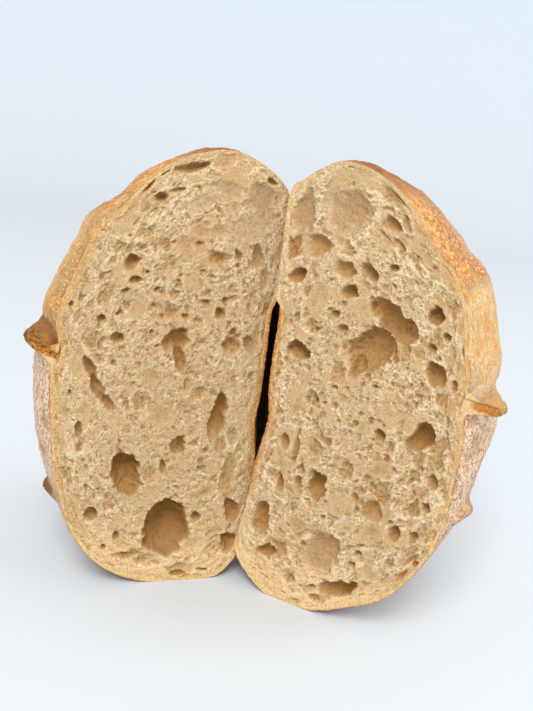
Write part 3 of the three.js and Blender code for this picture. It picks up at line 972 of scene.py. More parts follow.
    def relief(self, u: Array, w: Array) -> tuple[Array, dict[str, Array]]:
        """The depth of the face behind the plane of the cut, and the layers that colour it.

        Bubbles of seven sizes lie between the large holes, and thinly inside them. A finer bubble
        adds its depth to a coarser one, unless that has a smooth skin. Noise moves the places at
        which they are read, so that none of them is regular.

        Args:
            u, w: places on the face.

        Returns:
            A depth for each place, and one value for each place and layer.
        """
        seed, open_ = self.form.plan.seed, self.form.plan.openness
        tangent, stretch, gap = self.grain(u, w)
        large, looks = self.hole_depth(u, w)
        drift = [1.3 * Noise(seed + k).layered(u / 4.6, w / 4.6, 2)
                 + 0.45 * Noise(seed + k + 2).layered(u / 1.3, w / 1.3, 2) for k in (21, 25)]
        uu, ww = u + drift[0], w + drift[1]
        coarse = Noise(seed + 31).layered(u / 20.0, w / 20.0, 2)
        patch = open_ * (1 + 0.55 * coarse) * (0.45 + 0.55 * smooth(gap / 8.0))
        small, skin, strand, pits = (np.zeros(u.shape) for _ in range(4))
        for k, (*sizes, step, steep) in enumerate(self.FOAMS):
            foam = Foam(*sizes, seed + step, steep)
            depth, lined, wall = foam.cut(uu, ww, tangent, stretch, patch)
            rest = 1 - 0.8 * skin
            small = small + depth * rest
            if k >= self.COARSE:
                pits = np.maximum(pits, depth * rest / (foam.depth * foam.cell))
            strand = np.maximum(strand * (0.6 + 0.4 * rest), wall * rest)
            skin = np.maximum(skin, lined)
        cu, cw = self.form.plan.centre
        around = np.arctan2(w - cw, u - cu) * 12
        warm = self.form.warmth(u, w)
        leaf = Noise(seed + 95).layered(gap / 1.1, around, 3)
        leaf = unit(leaf) * smooth((13 - gap) / 8) * smooth((warm - 0.45) / 0.3)
        fine = 0.14 * (1 + Noise(seed + 51).layered(u / 1.2, w / 1.2, 2)) * (1 - 0.7 * skin) + 0.3 * leaf
        small = (small + fine) * looks["crumb"]
        depth = (large + small * (1 - 0.35 * unit(large / 6.0))) * smooth((gap + 0.5) / 1.1)
        # Painted light and shade: darker where the face lies deeper than the places round it, lighter where
        # it stands higher.
        near, wide = blurred(small, 2) - small, blurred(depth, 6) - depth
        looks["pit_shading"] = unit(0.42 - 0.6 * near - 0.08 * wide + 0.40 * pits * looks["crumb"])
        looks["strand"] = strand * (1 - 0.7 * unit(large / 3.0) * (looks["crumb"] < 0.8))
        looks["leaf"] = leaf
        looks["lace"] = np.full(u.shape, self.form.plan.lace)
        looks["slot"] = self.form.slotted(u, w) * smooth((3.5 - gap) / 3.0)
        # Painted shade: how deep the face round a place lies, for a darker tan and fewer bright walls there.
        looks["hollow"] = unit((blurred(depth, 1) - 0.35) / 1.9)
        looks["foot"] = smooth((46 - w) / 30) * (1 - unit(depth / 3.5))
        looks["skin"] = np.maximum(skin, 1 - looks["crumb"])
        # Painted shade: how deep a place lies, for darker colour inside large holes.
        looks["cavity"] = unit(depth / 12.0)
        looks["edge"] = unit(gap / 12.0)
        looks["warm"] = warm
        own = self.SPREAD * seed
        looks["flat_u"], looks["flat_w"] = (u + own) * MM, w * MM
        looks["flat_d"] = self.FLATTEN * depth * MM
        return depth, looks

    def build(self) -> bpy.types.Object:
        """The whole piece: the face's grid, and loops of points behind it that close on a pole.

        Returns:
            The new object.
        """
        form = self.form
        u, w = self.face()
        depth, looks = self.relief(u, w)
        front = form.placed(u, w, depth + self.SET_BACK).reshape(-1, 3)
        number = np.arange(front.shape[0]).reshape(u.shape)
        around = (number[:-1, :-1], number[:-1, 1:], number[1:, 1:], number[1:, :-1])
        quads = np.stack(around, -1).reshape(-1, 4)
        loop = np.concatenate([number[:-1, 0], number[-1, :-1], number[:0:-1, -1], number[0, :0:-1]])[::-1]
        seam, top, crown, foot = self.edge_shares()
        share = np.concatenate([seam[:-1], top[:-1], crown[:0:-1], foot[:0:-1]])[::-1]
        rim = form.rim(share)
        d = form.depth * np.sin(0.5 * math.pi * np.arange(1, self.back_rows + 1) / (self.back_rows + 1))
        back = form.placed(*form.inset(rim, d[:, None], self.back_inset), d[:, None] * self.BACK)
        pole = form.placed(*[np.array(v) for v in (*form.plan.centre, form.depth * self.BACK)])
        rows = front.shape[0] + np.arange(d.size * share.size).reshape(d.size, share.size)
        points = np.concatenate([front, back.reshape(-1, 3), pole[None]])
        quads = np.concatenate([quads, band(np.concatenate([loop[None], rows]))])
        triangles = fan(len(points) - 1, rows[-1], False)
        hidden = np.zeros(len(points) - len(front))
        layers = {name: np.concatenate([values.ravel(), hidden]) for name, values in looks.items()}
        return closed_mesh(form.plan.node + "_crumb", points, quads, triangles, layers)


# ------------------------------------------------------------------ the crust


@dataclass
class Crust:
    """The baked shell of a half: its outside, the edge that shows at the cut, and its inside.

    Attributes:
        form: the half's form.
        round: points round the outline.
        near, far: rows of the outside near the cut, and behind them.
        near_depth: how far back the fine rows reach.
        steps: rows across the edge that shows at the cut.
        thickness: of the crust.
        slope: how far back the inner edge of the cut band lies.
    """

    form: HalfForm
    round: int = 860
    near: int = 66
    far: int = 34
    near_depth: float = 46.0
    steps: int = 8
    thickness: float = 2.2
    slope: float = 0.9

    CELLS = 48                # cells of the coarsest noise round the outline
    LOOPS = 7                 # of the inside
    BACK = 0.98               # share of the depth that the inside reaches
    ROUGH = 0.18              # mm by which the edge at the cut is uneven
    FULL_REACH = 20.0         # mm that an ear stands out where its reach is 1

    def depths(self) -> Array:
        """Depths of the outside's rows: close near the cut, then even in angle to the back.

        Returns:
            The depths, without that of the pole.
        """
        near = self.near_depth * np.linspace(0, 1, self.near, endpoint=False) ** 1.15
        start = math.asin(self.near_depth / self.form.depth)
        far = self.form.depth * np.sin(np.linspace(start, math.pi / 2, self.far, endpoint=False))
        return np.concatenate([near, far])

    def outside(self) -> tuple[Array, dict[str, Array]]:
        """The outside in rows from the cut to the back, with the ears, and the layers that colour it.

        An ear moves the points of its section up and out. Then every point moves along the
        surface's own normal, by blisters, by the streaks of the score opening, and by fine grain.

        Returns:
            The points in the row frame, and one value for each point and layer.
        """
        form, plan = self.form, self.form.plan
        share = np.linspace(0, 1, self.round, endpoint=False)[None, :]
        d = self.depths()[:, None]
        base = form.rim(share)
        crown = base.eu > 0.3
        flat = np.zeros((d.size, share.size))
        out, shift, tip, crease, burnt, bare_tip = (flat.copy() for _ in range(6))
        ragged = (1 + 0.09 * Noise(plan.seed + 61).layered(d / 6.0, d * 0, 2)
                  + 0.05 * Noise(plan.seed + 63).layered(d / 1.6, d * 0, 2))
        for ear in plan.ears:
            stands, up, run = ear.section(base.w - ear.at, d)
            grown = ear.grown(d) * crown
            out = out + ear.rise * stands * grown * ragged
            shift = shift + up * grown
            strong = unit(grown * 1.5) * (0.9 if ear.whole else 1.0)
            here = strong * smooth((run + 0.26) / 0.14) * smooth((0.40 - run) / 0.14)
            tip = np.maximum(tip, here)
            bare_tip = np.maximum(bare_tip, here * ear.bare)
            # Painted shade: a dark band along the crease above each ear.
            crease = np.maximum(crease, strong * np.exp(-((run - 0.40) / 0.09) ** 2) * ear.bare)
            burnt = np.maximum(burnt, strong * np.exp(-((run + 0.05) / 0.14) ** 2) * ear.bare)
            burnt = np.maximum(burnt, here * ear.scorch)
        rim = form.rim(share - shift / form.length)
        u, w = form.crust(rim, d)
        cells = self.CELLS
        x, y = share * cells, d / (form.length / cells)
        edge = smooth(d / 2.5)
        wobble = 0.35 * Noise(plan.seed + 67, cells * 6).layered(x * 6, y * 6, 3) * (1 - edge)
        points = form.placed(u + out + wobble * base.nu, w + wobble * base.nw, d)
        opened = form.opened(base, d)
        low, high = form.opening_at(d)
        strayed = w - shift + 5.5 * Noise(plan.seed + 101, cells).layered(x * 1.0, y * 1.0, 5)
        crownward = smooth((u - plan.centre[0] + 4 * Noise(plan.seed + 105, cells).layered(x, y, 3)) / 30)
        bare = (smooth((strayed - low - 3) / 3) * smooth((high - strayed) / 3)
                * smooth((u - plan.centre[0]) / 12))
        bottom = smooth((-base.eu - 0.5) / 0.35) * smooth((form.depth * 0.97 - d) / 50)
        blisters = np.maximum(Noise(plan.seed + 71, cells * 3).layered(x * 3, y * 3, 3) - 0.2, 0)
        grain = Noise(plan.seed + 75, cells * 12).layered(x * 12, y * 12, 2)
        streaks = Noise(plan.seed + 79, cells).layered(x, d / 1.9 + 0.6 * np.sin(x), 3)
        torn = Noise(plan.seed + 87, cells * 2).layered(x * 2 + 0.4 * streaks, y * 4, 3)
        ends = np.exp(-(((strayed - high + 2.0 * streaks) / 3.0) ** 2)) * crown * (1 - smooth((d - 50) / 30))
        calm = unit(np.hypot(u - plan.centre[0], w - plan.centre[1]) / 60) ** 1.5
        height = (0.8 * blisters * (1 - opened) + 0.13 * grain
                  + (0.8 * plan.ridges * streaks + 0.35 * torn) * opened * (1 - tip)
                  + 0.30 * Noise(plan.seed + 83, cells).layered(x, y, 2)
                  + 0.5 * ends * (0.5 + torn)) * edge * calm
        ahead = np.roll(points, -1, 1) - np.roll(points, 1, 1)
        back = np.gradient(points, axis=0)
        normal = np.cross(ahead, back) * plan.side
        normal /= np.linalg.norm(normal, axis=-1, keepdims=True) + 1e-12
        points = points + normal * (height * MM)[..., None]
        points[..., 2] = np.maximum(points[..., 2], 0.0)
        upper = smooth((strayed - high + 8) / 4) * crownward
        floured = smooth((low + 2 - strayed) / 6) * smooth((w - 4) / 20) * crownward * (1 - tip * 0.5)
        looks = {
            "flour": unit(floured * (1 - opened) + upper * (0.02 + 0.24 * smooth((d - 30) / 20))),
            "upper": upper,
            "opening": bare,
            # Painted shade: where the opening curves in above the ear and is made greyer.
            "grey_shade_share": bare * smooth((164 - w) / 14) * (1 - smooth((d - 40) / 20)) * (1 - plan.ridges),
            "torn": unit(0.5 + 0.5 * torn) * opened + 0.5 * ends,
            "ridge": unit(0.5 + 0.5 * plan.ridges * streaks) * opened,
            "back": unit(d / 40.0) + 0 * share,
            # Painted shade: where the walls of the slot between the halves are made near black.
            "deep": form.slotted(base.u, base.w) * smooth((d - 1.5) / 3) * (1 - smooth((d - 42) / 10)),
            "shadow": plan.ridges * opened * (1 - smooth(d / 40.0)),
            "warm": np.broadcast_to(form.warmth(base.u, base.w), d.shape[:1] + share.shape[1:]),
            "lip": np.exp(-((d / 0.9) ** 2)) + 0 * share,
            "bottom": bottom,
            "ear": bare_tip,
            "crease": crease * (0.3 + 0.7 * plan.char),
            "burnt": burnt * plan.char,
            "char": np.maximum(bare_tip, burnt) * plan.char,
            "tip": np.maximum(burnt, bare_tip),
            "slot": form.slotted(base.u, base.w) + 0 * d,
            "reach": unit(out / self.FULL_REACH),
        }
        return points, looks

    def build(self) -> bpy.types.Object:
        """The whole piece: inside, edge and outside as one run of closed loops between two poles.

        Returns:
            The new object.
        """
        form = self.form
        outer, looks = self.outside()
        share = np.linspace(0, 1, self.round, endpoint=False)[None, :]
        rim = form.rim(share)
        turn = 0.5 * math.pi * np.arange(self.LOOPS - 1, -1, -1)[:, None] / self.LOOPS
        d = self.slope + (form.depth - self.slope) * np.sin(turn)
        inner = form.placed(*form.inset(rim, d, self.thickness), self.slope + (d - self.slope) * self.BACK)
        edge_u, edge_w = rim.u - self.thickness * rim.nu, rim.w - self.thickness * rim.nw
        inner[-1] = form.placed(edge_u, edge_w, self.slope + 0 * share)[0]
        steps = (np.arange(1, self.steps) / self.steps)[:, None, None]
        cut = inner[-1][None] * (1 - steps) + outer[0][None] * steps
        inward = np.arange(1, self.steps)[:, None] * 0.7
        rough = Noise(form.plan.seed + 91, 512).layered(share * 512, inward, 2)
        cut[..., 1] += self.ROUGH * MM * rough
        points = np.concatenate([inner, cut, outer])
        rows = np.arange(points.shape[0] * self.round).reshape(points.shape[0], self.round)
        cu, cw = form.plan.centre
        poles = form.placed(cu, cw, form.depth * np.array([self.BACK, 1.0]))
        whole = np.concatenate([points.reshape(-1, 3), poles])
        count = rows.size
        triangles = np.concatenate([fan(count, rows[0], True), fan(count + 1, rows[-1], False)])
        first, hidden = inner.shape[0], inner.shape[0] + cut.shape[0]
        layers = {name: np.concatenate([np.repeat(values[:1], hidden, 0), values])
                  for name, values in looks.items()}
        on_cut, across = np.zeros(rows.shape), np.zeros(rows.shape)
        on_cut[:hidden + 1] = 1.0
        across[first:hidden + 1] = np.arange(1, self.steps + 1)[:, None] / self.steps
        stands_out = across[first:hidden] * self.FULL_REACH * looks["reach"][:1]
        for name in ("tip", "char"):
            layers[name][first:hidden] *= smooth((stands_out - form.plan.core) / 3.0)
        layers |= {"cut": on_cut, "across": across}
        ended = {name: np.append(values, (0.0, 0.0)) for name, values in layers.items()}
        return closed_mesh(form.plan.node + "_crust", whole, band(rows), triangles, ended)


# ------------------------------------------------------------------ finishes


class Nodes:
    """A short hand for building a material's nodes."""

    def __init__(self, name: str) -> None:
        """Makes an empty material with its output and its surface shader.

        Args:
            name: the material's name.
        """
        self.material = bpy.data.materials.new(name)
        self.material.use_nodes = True
        self.tree = self.material.node_tree
        self.tree.nodes.clear()
        self.surface = self.tree.nodes.new("ShaderNodeBsdfPrincipled")
        out = self.tree.nodes.new("ShaderNodeOutputMaterial")
        self.tree.links.new(self.surface.outputs[0], out.inputs["Surface"])
        self.place = self.tree.nodes.new("ShaderNodeTexCoord").outputs["Object"]

    def feed(self, socket: bpy.types.NodeSocket, value: object) -> None:
        """Links a socket to another, or sets its value.

        Args:
            socket: the input that is fed.
            value: a socket, or a value that it takes.
        """
        if isinstance(value, bpy.types.NodeSocket):
            self.tree.links.new(value, socket)
        else:
            socket.default_value = value

    def layer(self, name: str) -> bpy.types.NodeSocket:
        """The value of one of the mesh's own layers.

        Args:
            name: the layer's name.

        Returns:
            The value's socket.
        """
        node = self.tree.nodes.new("ShaderNodeAttribute")
        node.attribute_name = name
        return node.outputs["Fac"]

    def laid_out(self, names: Sequence[str]) -> bpy.types.NodeSocket:
        """A place whose three numbers are three of the mesh's own layers.

        Args:
            names: the layers' names.

        Returns:
            The place's socket.
        """
        node = self.tree.nodes.new("ShaderNodeCombineXYZ")
        for socket, name in zip(node.inputs, names):
            self.feed(socket, self.layer(name))
        return node.outputs[0]

    def texture(self, kind: str, size_mm: float, place: object) -> bpy.types.ShaderNode:
        """A texture of a kind, such as Noise, whose features have the given size.

        Args:
            kind: the last part of the node's type.
            size_mm: the size of its features.
            place: the socket of the place at which it is read.

        Returns:
            The new node.
        """
        node = self.tree.nodes.new("ShaderNodeTex" + kind)
        self.feed(node.inputs["Vector"], place)
        node.inputs["Scale"].default_value = 1.0 / (size_mm * MM)
        return node

    def noise(self, size_mm: float, detail: float = 3.0, rough: float = 0.55, low: float = 0.0,
              high: float = 1.0, most: float = 1.0) -> bpy.types.NodeSocket:
        """Noise in the row frame, stretched so that low and high become 0 and 1.

        Args:
            size_mm: the size of its features.
            detail: how many finer layers it has.
            rough: how strong those are.
            low, high: what becomes 0, and what becomes the most.
            most: the largest value.

        Returns:
            The noise's socket.
        """
        node = self.texture("Noise", size_mm, self.place)
        node.inputs["Detail"].default_value = detail
        node.inputs["Roughness"].default_value = rough
        return self.spread(node.outputs["Fac"], low, high, 0.0, most)

    def spread(self, value: object, low: float, high: float, to_low: float = 0.0,
               to_high: float = 1.0) -> bpy.types.NodeSocket:
        """A value moved from one range to another and kept inside it.

        Args:
            value: the value, as a socket or a number.
            low, high: the range that it comes from.
            to_low, to_high: what the ends of that range become.

        Returns:
            The new value's socket.
        """
        node = self.tree.nodes.new("ShaderNodeMapRange")
        node.clamp = True
        for socket, number in zip(node.inputs[:5], (value, low, high, to_low, to_high)):
            self.feed(socket, number)
        return node.outputs["Result"]

    def strands(self, size_mm: float, warp_mm: float, width: float) -> bpy.types.NodeSocket:
        """Thin walls between scattered cells, bent by noise: 1 on a wall and 0 off it.

        Args:
            size_mm: how far apart the cells are.
            warp_mm: how far noise moves the walls.
            width: half the width of a wall, as a share of the size.

        Returns:
            The strands' socket.
        """
        wander = self.texture("Noise", 1.3 * size_mm, self.place)
        wander.inputs["Detail"].default_value = 2.0
        pushed = self.tree.nodes.new("ShaderNodeVectorMath")
        pushed.operation = "MULTIPLY_ADD"
        self.feed(pushed.inputs[0], wander.outputs["Color"])
        pushed.inputs[1].default_value = (2.0 * warp_mm * MM,) * 3
        self.feed(pushed.inputs[2], self.place)
        cell = self.texture("Voronoi", size_mm, pushed.outputs[0])
        cell.feature = "DISTANCE_TO_EDGE"
        return self.spread(cell.outputs["Distance"], width, 0.0)

    def step(self, operation: str, a: object, b: object) -> bpy.types.NodeSocket:
        """One step of arithmetic on sockets or numbers.

        Args:
            operation: such as ADD or MULTIPLY.
            a, b: what it is done to.

        Returns:
            The result's socket.
        """
        node = self.tree.nodes.new("ShaderNodeMath")
        node.operation = operation
        self.feed(node.inputs[0], a)
        self.feed(node.inputs[1], b)
        return node.outputs[0]

    def times(self, a: object, b: object) -> bpy.types.NodeSocket:
        """The product of two sockets or numbers."""
        return self.step("MULTIPLY", a, b)

    def most(self, a: object, b: object) -> bpy.types.NodeSocket:
        """The larger of two sockets or numbers."""
        return self.step("MAXIMUM", a, b)

    def mix(self, factor: object, a: object, b: object) -> bpy.types.NodeSocket:
        """A colour between two others.

        Args:
            factor: the share of the second.
            a, b: the colours, as sockets or values.

        Returns:
            The colour's socket.
        """
        node = self.tree.nodes.new("ShaderNodeMix")
        node.data_type = "RGBA"
        self.feed(node.inputs["Factor"], factor)
        self.feed(node.inputs["A"] if node.inputs["A"].type == "RGBA" else node.inputs[6], a)
        self.feed(node.inputs["B"] if node.inputs["B"].type == "RGBA" else node.inputs[7], b)
        return node.outputs[2]

    def coated(self, colour: object, *coats: tuple[object, object]) -> bpy.types.NodeSocket:
        """A colour with coats over it, in order.

        Args:
            colour: what they lie on.
            coats: for each its share, and its own colour.

        Returns:
            The colour's socket.
        """
        for share, coat in coats:
            colour = self.mix(share, colour, coat)
        return colour

    def bump(self, height: bpy.types.NodeSocket, depth_mm: float,
             before: bpy.types.NodeSocket | None = None) -> bpy.types.NodeSocket:
        """A surface normal tilted by a height.

        Args:
            height: from 0 to 1.
            depth_mm: what 1 stands for.
            before: a normal to add to.

        Returns:
            The normal's socket.
        """
        node = self.tree.nodes.new("ShaderNodeBump")
        node.inputs["Distance"].default_value = depth_mm * MM
        self.feed(node.inputs["Height"], height)
        if before is not None:
            self.feed(node.inputs["Normal"], before)
        return node.outputs["Normal"]


@dataclass(frozen=True)
class CrumbFinish:
    """The look of the cut crumb.

    Attributes:
        cream, tan: the two tones of its surface.
        wall: the thin walls between bubbles.
        shade, deep: painted shade in small pits and inside large holes; shade also colours specks.
        skin: the smooth skin inside a bubble; it is also the painted light on the lower side of large holes.
        painted_sheen: painted sheen, the whitish grey that the glossy thin skins at the top reflect.
        cast: the crumb near the foot.
        gold: the colour beside the crust.
        toasted: the colour where a hole lies close under the crust.
        seared: the colour beside the slot.
    """

    cream: Colour = tint(194, 153, 95)
    tan: Colour = tint(181, 136, 74)
    wall: Colour = tint(248, 226, 188)
    shade: Colour = tint(148, 100, 40)
    deep: Colour = tint(162, 115, 54)
    skin: Colour = tint(186, 152, 106)
    gold: Colour = tint(222, 170, 94)
    toasted: Colour = tint(172, 116, 54)
    painted_sheen: Colour = tint(206, 188, 154)
    cast: Colour = tint(246, 212, 156)
    seared: Colour = tint(182, 110, 42)

    def material(self) -> bpy.types.Material:
        """The crumb's material.

        Returns:
            The new material.
        """
        n = Nodes("crumb")
        n.place = n.laid_out(("flat_u", "flat_w", "flat_d"))
        pit_shading, cavity, edge = n.layer("pit_shading"), n.layer("cavity"), n.layer("edge")
        skin, strand, hollow = n.layer("skin"), n.layer("strand"), n.layer("hollow")
        rest = n.spread(skin, 0.0, 1.0, 1.0, 0.6)
        thread = n.strands(1.15, 0.35, 0.22)
        web = n.strands(1.9, 0.6, 0.17)
        lace = n.strands(3.3, 1.1, 0.11)
        colour = n.mix(n.noise(9, 3, 0.6, 0.36, 0.66), self.cream, self.tan)
        colour = n.coated(
            colour,
            # painted shade: a darker tan where the face lies deep
            (n.spread(hollow, 0.0, 1.0, 0.0, 0.5), self.tan),
            (n.times(skin, 0.5), self.skin),
        )
        # Painted sheen: the glossy skins are streaked with a whitish grey that stands for their reflection.
        sheen = n.times(n.spread(n.layer("gloss"), 0.2, 1.0), n.noise(2.0, 4, 0.75, 0.48, 0.60))
        colour = n.mix(n.times(sheen, 0.55), colour, self.painted_sheen)
        specks = n.times(n.noise(0.8, 3, 0.75, 0.51, 0.62), n.times(rest, 0.5))
        colour = n.coated(
            colour,
            (specks, self.shade),
            # painted shade: darker where the face lies deeper than the places round it
            (n.spread(pit_shading, 0.48, 0.76, 0.0, 0.95), self.shade),
        )
        bright = n.most(n.times(web, 0.6), n.times(lace, 0.5))
        bright = n.most(bright, n.times(thread, 0.72))
        bright = n.most(bright, strand)
        bright = n.times(bright, rest)
        bright = n.times(bright, n.noise(4, 3, 0.65, 0.30, 0.46))
        bright = n.most(bright, n.noise(0.9, 2, 0.6, 0.50, 0.70, 0.6))
        # painted light: lighter where the face stands higher than the places round it
        bright = n.most(bright, n.spread(pit_shading, 0.38, 0.16, 0.0, 0.6))
        # painted shade: fewer bright walls where the face lies deep
        bright = n.times(bright, n.spread(hollow, 0.2, 1.0, 1.0, 0.45))
        # painted highlight: a bright ring round each large hole
        lips = n.times(n.layer("lip"), n.noise(2.5, 3, 0.7, 0.45, 0.6, 0.6))
        bright = n.most(bright, lips)
        bright = n.times(bright, n.layer("lace"))
        colour = n.coated(
            colour,
            (bright, self.wall),
            # painted shade: darker the deeper a place lies in a large hole
            (n.spread(cavity, 0.10, 0.5, 0.0, 0.75), self.deep),
        )
        inside = n.spread(cavity, 0.1, 0.5, 0.0, 0.6)
        # Painted shade at the top of each large hole, and painted light at its bottom.
        colour = n.coated(
            colour,
            (n.times(n.spread(n.layer("roof_shading"), 0.4, 1.0), inside), self.shade),
            (n.times(n.spread(n.layer("roof_shading"), 0.4, 0.0), inside), self.skin),
        )
        bare_strand = n.times(strand, n.spread(skin, 0.5, 0.2))
        threads = n.times(bare_strand, n.spread(cavity, 0.1, 0.3, 0.0, 0.5))
        colour = n.mix(threads, colour, self.cream)
        near = n.times(n.spread(edge, 0.45, 0.0, 0.0, 0.8), n.layer("warm"))
        colour = n.mix(n.times(near, n.noise(3.5, 4, 0.7, 0.30, 0.55)), colour, self.gold)
        beside = n.times(n.layer("slot"), n.noise(1.6, 4, 0.75, 0.38, 0.60, 0.75))
        colour = n.coated(
            colour,
            (beside, self.seared),
            (n.times(n.layer("leaf"), 0.5), self.shade),
        )
        below = n.times(n.layer("foot"), n.noise(1.6, 4, 0.75, 0.38, 0.56, 0.95))
        colour = n.coated(
            colour,
            (below, self.cast),
            (n.layer("toast"), self.toasted),
        )
        n.feed(n.surface.inputs["Base Color"], colour)
        n.feed(n.surface.inputs["Roughness"], n.spread(n.layer("gloss"), 0.0, 1.0, 0.75, 0.32))
        fine = n.bump(n.times(n.most(web, lace), rest), 0.3)
        fine = n.bump(n.noise(0.8, 3, 0.65), 0.24, fine)
        fine = n.bump(n.times(n.noise(3.0, 3, 0.6), n.layer("gloss")), 1.2, fine)
        n.feed(n.surface.inputs["Normal"], fine)
        n.feed(n.surface.inputs["Specular IOR Level"], n.spread(n.layer("gloss"), 0.2, 1.0, 0.2, 0.6))
        n.surface.inputs["Subsurface Weight"].default_value = 0.25
        n.surface.inputs["Subsurface Radius"].default_value = (1.0, 0.6, 0.3)
        n.surface.inputs["Subsurface Scale"].default_value = 1.6 * MM
        return n.material


@dataclass(frozen=True)
class CrustFinish:
    """The look of the baked crust.

    Attributes:
        brown, dark: the bare crust, and where it is baked most; dark is also painted shade in the creases
            above the ears.
        flour: the dusting of flour.
        pale, patch: the score opening, and the warmer patches in it.
        golden: the crust above the opening.
        amber, rosy: the bare crust above the opening, near the cut and further back.
        grey_shade: painted shade, the greyer opening where it curves in above an ear.
        straw: the light grain of the crust above the opening.
        rust: the darker parts of a torn edge.
        ochre: the opening where it turns away from the light.
        burnt: the tips of the ears.
        olive: the upper side of the ears; in the opening, random patches and painted shade between its
            ridges.
        under: the bottom crust.
        slot_shade: painted shade, a near black on the walls of the slot between the halves.
        cut, wall: the thin edge of crust that shows at the cut, and the strands in it.
    """

    brown: Colour = tint(172, 118, 66)
    dark: Colour = tint(122, 72, 30)
    flour: Colour = tint(240, 212, 184)
    pale: Colour = tint(224, 194, 144)
    patch: Colour = tint(212, 148, 66)
    golden: Colour = tint(216, 166, 92)
    amber: Colour = tint(200, 130, 52)
    rosy: Colour = tint(172, 112, 56)
    grey_shade: Colour = tint(184, 166, 140)
    straw: Colour = tint(240, 202, 136)
    rust: Colour = tint(184, 100, 40)
    ochre: Colour = tint(168, 118, 58)
    burnt: Colour = tint(112, 54, 14)
    olive: Colour = tint(158, 120, 60)
    under: Colour = tint(156, 94, 38)
    slot_shade: Colour = tint(40, 24, 12)
    cut: Colour = tint(200, 160, 106)
    wall: Colour = tint(242, 220, 182)

    def above(self, n: Nodes) -> bpy.types.NodeSocket:
        """The bare crust above the opening: golden by the cut, then amber, then rosy brown.

        Args:
            n: the material's nodes.

        Returns:
            The colour's socket.
        """
        back = n.step("ADD", n.layer("back"), n.noise(7, 3, 0.6, 0.3, 0.7))
        colour = n.mix(n.spread(back, 0.50, 0.75), self.golden, self.amber)
        colour = n.coated(
            colour,
            (n.spread(back, 0.85, 1.20), self.rosy),
            (n.noise(2.4, 4, 0.8, 0.47, 0.60, 0.85), self.rust),
            (n.noise(1.3, 4, 0.85, 0.54, 0.64, 0.7), self.dark),
        )
        light = n.mix(n.spread(back, 1.2, 1.7), self.straw, self.flour)
        return n.mix(n.noise(1.9, 4, 0.85, 0.49, 0.59, 0.9), colour, light)

    def inside(self, n: Nodes) -> bpy.types.NodeSocket:
        """The score opening: cream, with golden patches, and painted shade between its ridges.

        Args:
            n: the material's nodes.

        Returns:
            The colour's socket.
        """
        colour = n.mix(n.noise(3.5, 4, 0.7, 0.40, 0.64), self.pale, self.golden)
        colour = n.coated(
            colour,
            (n.noise(1.7, 4, 0.8, 0.50, 0.62, 0.45), self.olive),
            # painted shade: darker in the grooves between the ridges
            (n.spread(n.layer("ridge"), 0.52, 0.30, 0.0, 0.7), self.olive),
            (n.times(n.layer("shadow"), 0.8), self.ochre),
            (n.noise(8, 4, 0.65, 0.49, 0.60, 0.95), self.patch),
            (n.spread(n.layer("torn"), 0.74, 0.95), self.amber),
        )
        # Painted shade: the opening made greyer where it curves in above the ear.
        grey_shade_share = n.times(n.layer("grey_shade_share"), n.noise(4, 4, 0.7, 0.30, 0.55))
        colour = n.mix(n.times(grey_shade_share, 0.8), colour, self.grey_shade)
        return n.mix(n.noise(1.3, 4, 0.75, 0.52, 0.66), colour, self.wall)

    def edge(self, n: Nodes) -> bpy.types.NodeSocket:
        """The crust's edge at the cut: strands like the crumb's, golden where the crust is warm.

        Args:
            n: the material's nodes.

        Returns:
            The colour's socket.
        """
        warm = n.layer("warm")
        colour = n.mix(n.noise(2.0, 3, 0.7, 0.35, 0.65), self.cut, self.golden)
        colour = n.mix(n.times(n.strands(1.25, 0.4, 0.24), 0.8), colour, self.wall)
        outer = n.times(n.spread(n.layer("across"), 0.55, 1.0), warm)
        colour = n.mix(n.times(outer, n.noise(4, 3, 0.6, 0.3, 0.6)), colour, self.patch)
        line = n.times(n.spread(n.layer("across"), 0.8, 1.0), n.noise(5, 3, 0.6, 0.34, 0.6))
        colour = n.mix(n.times(line, n.spread(warm, 0.2, 1.0, 0.2, 0.8)), colour, self.burnt)
        bare = n.times(n.layer("opening"), n.noise(3, 3, 0.6, 0.25, 0.5, 0.7))
        colour = n.mix(bare, colour, n.mix(n.noise(5, 3, 0.6, 0.4, 0.6), self.pale, self.golden))
        baked = n.mix(n.noise(1.4, 4, 0.75, 0.40, 0.60), self.amber, self.under)
        side = n.times(n.layer("slot"), n.spread(n.layer("across"), 0.0, 0.7, 0.25, 1.0))
        colour = n.mix(n.times(side, n.noise(2.2, 4, 0.7, 0.30, 0.50)), colour, baked)
        torn = n.mix(n.noise(1.6, 4, 0.75, 0.40, 0.62), self.amber, self.rust)
        torn = n.mix(n.noise(1.1, 3, 0.7, 0.54, 0.66, 0.35), torn, self.wall)
        colour = n.mix(n.layer("tip"), colour, torn)
        seared = n.mix(n.noise(2.0, 4, 0.7, 0.38, 0.62), self.patch, self.burnt)
        return n.mix(n.layer("char"), colour, seared)

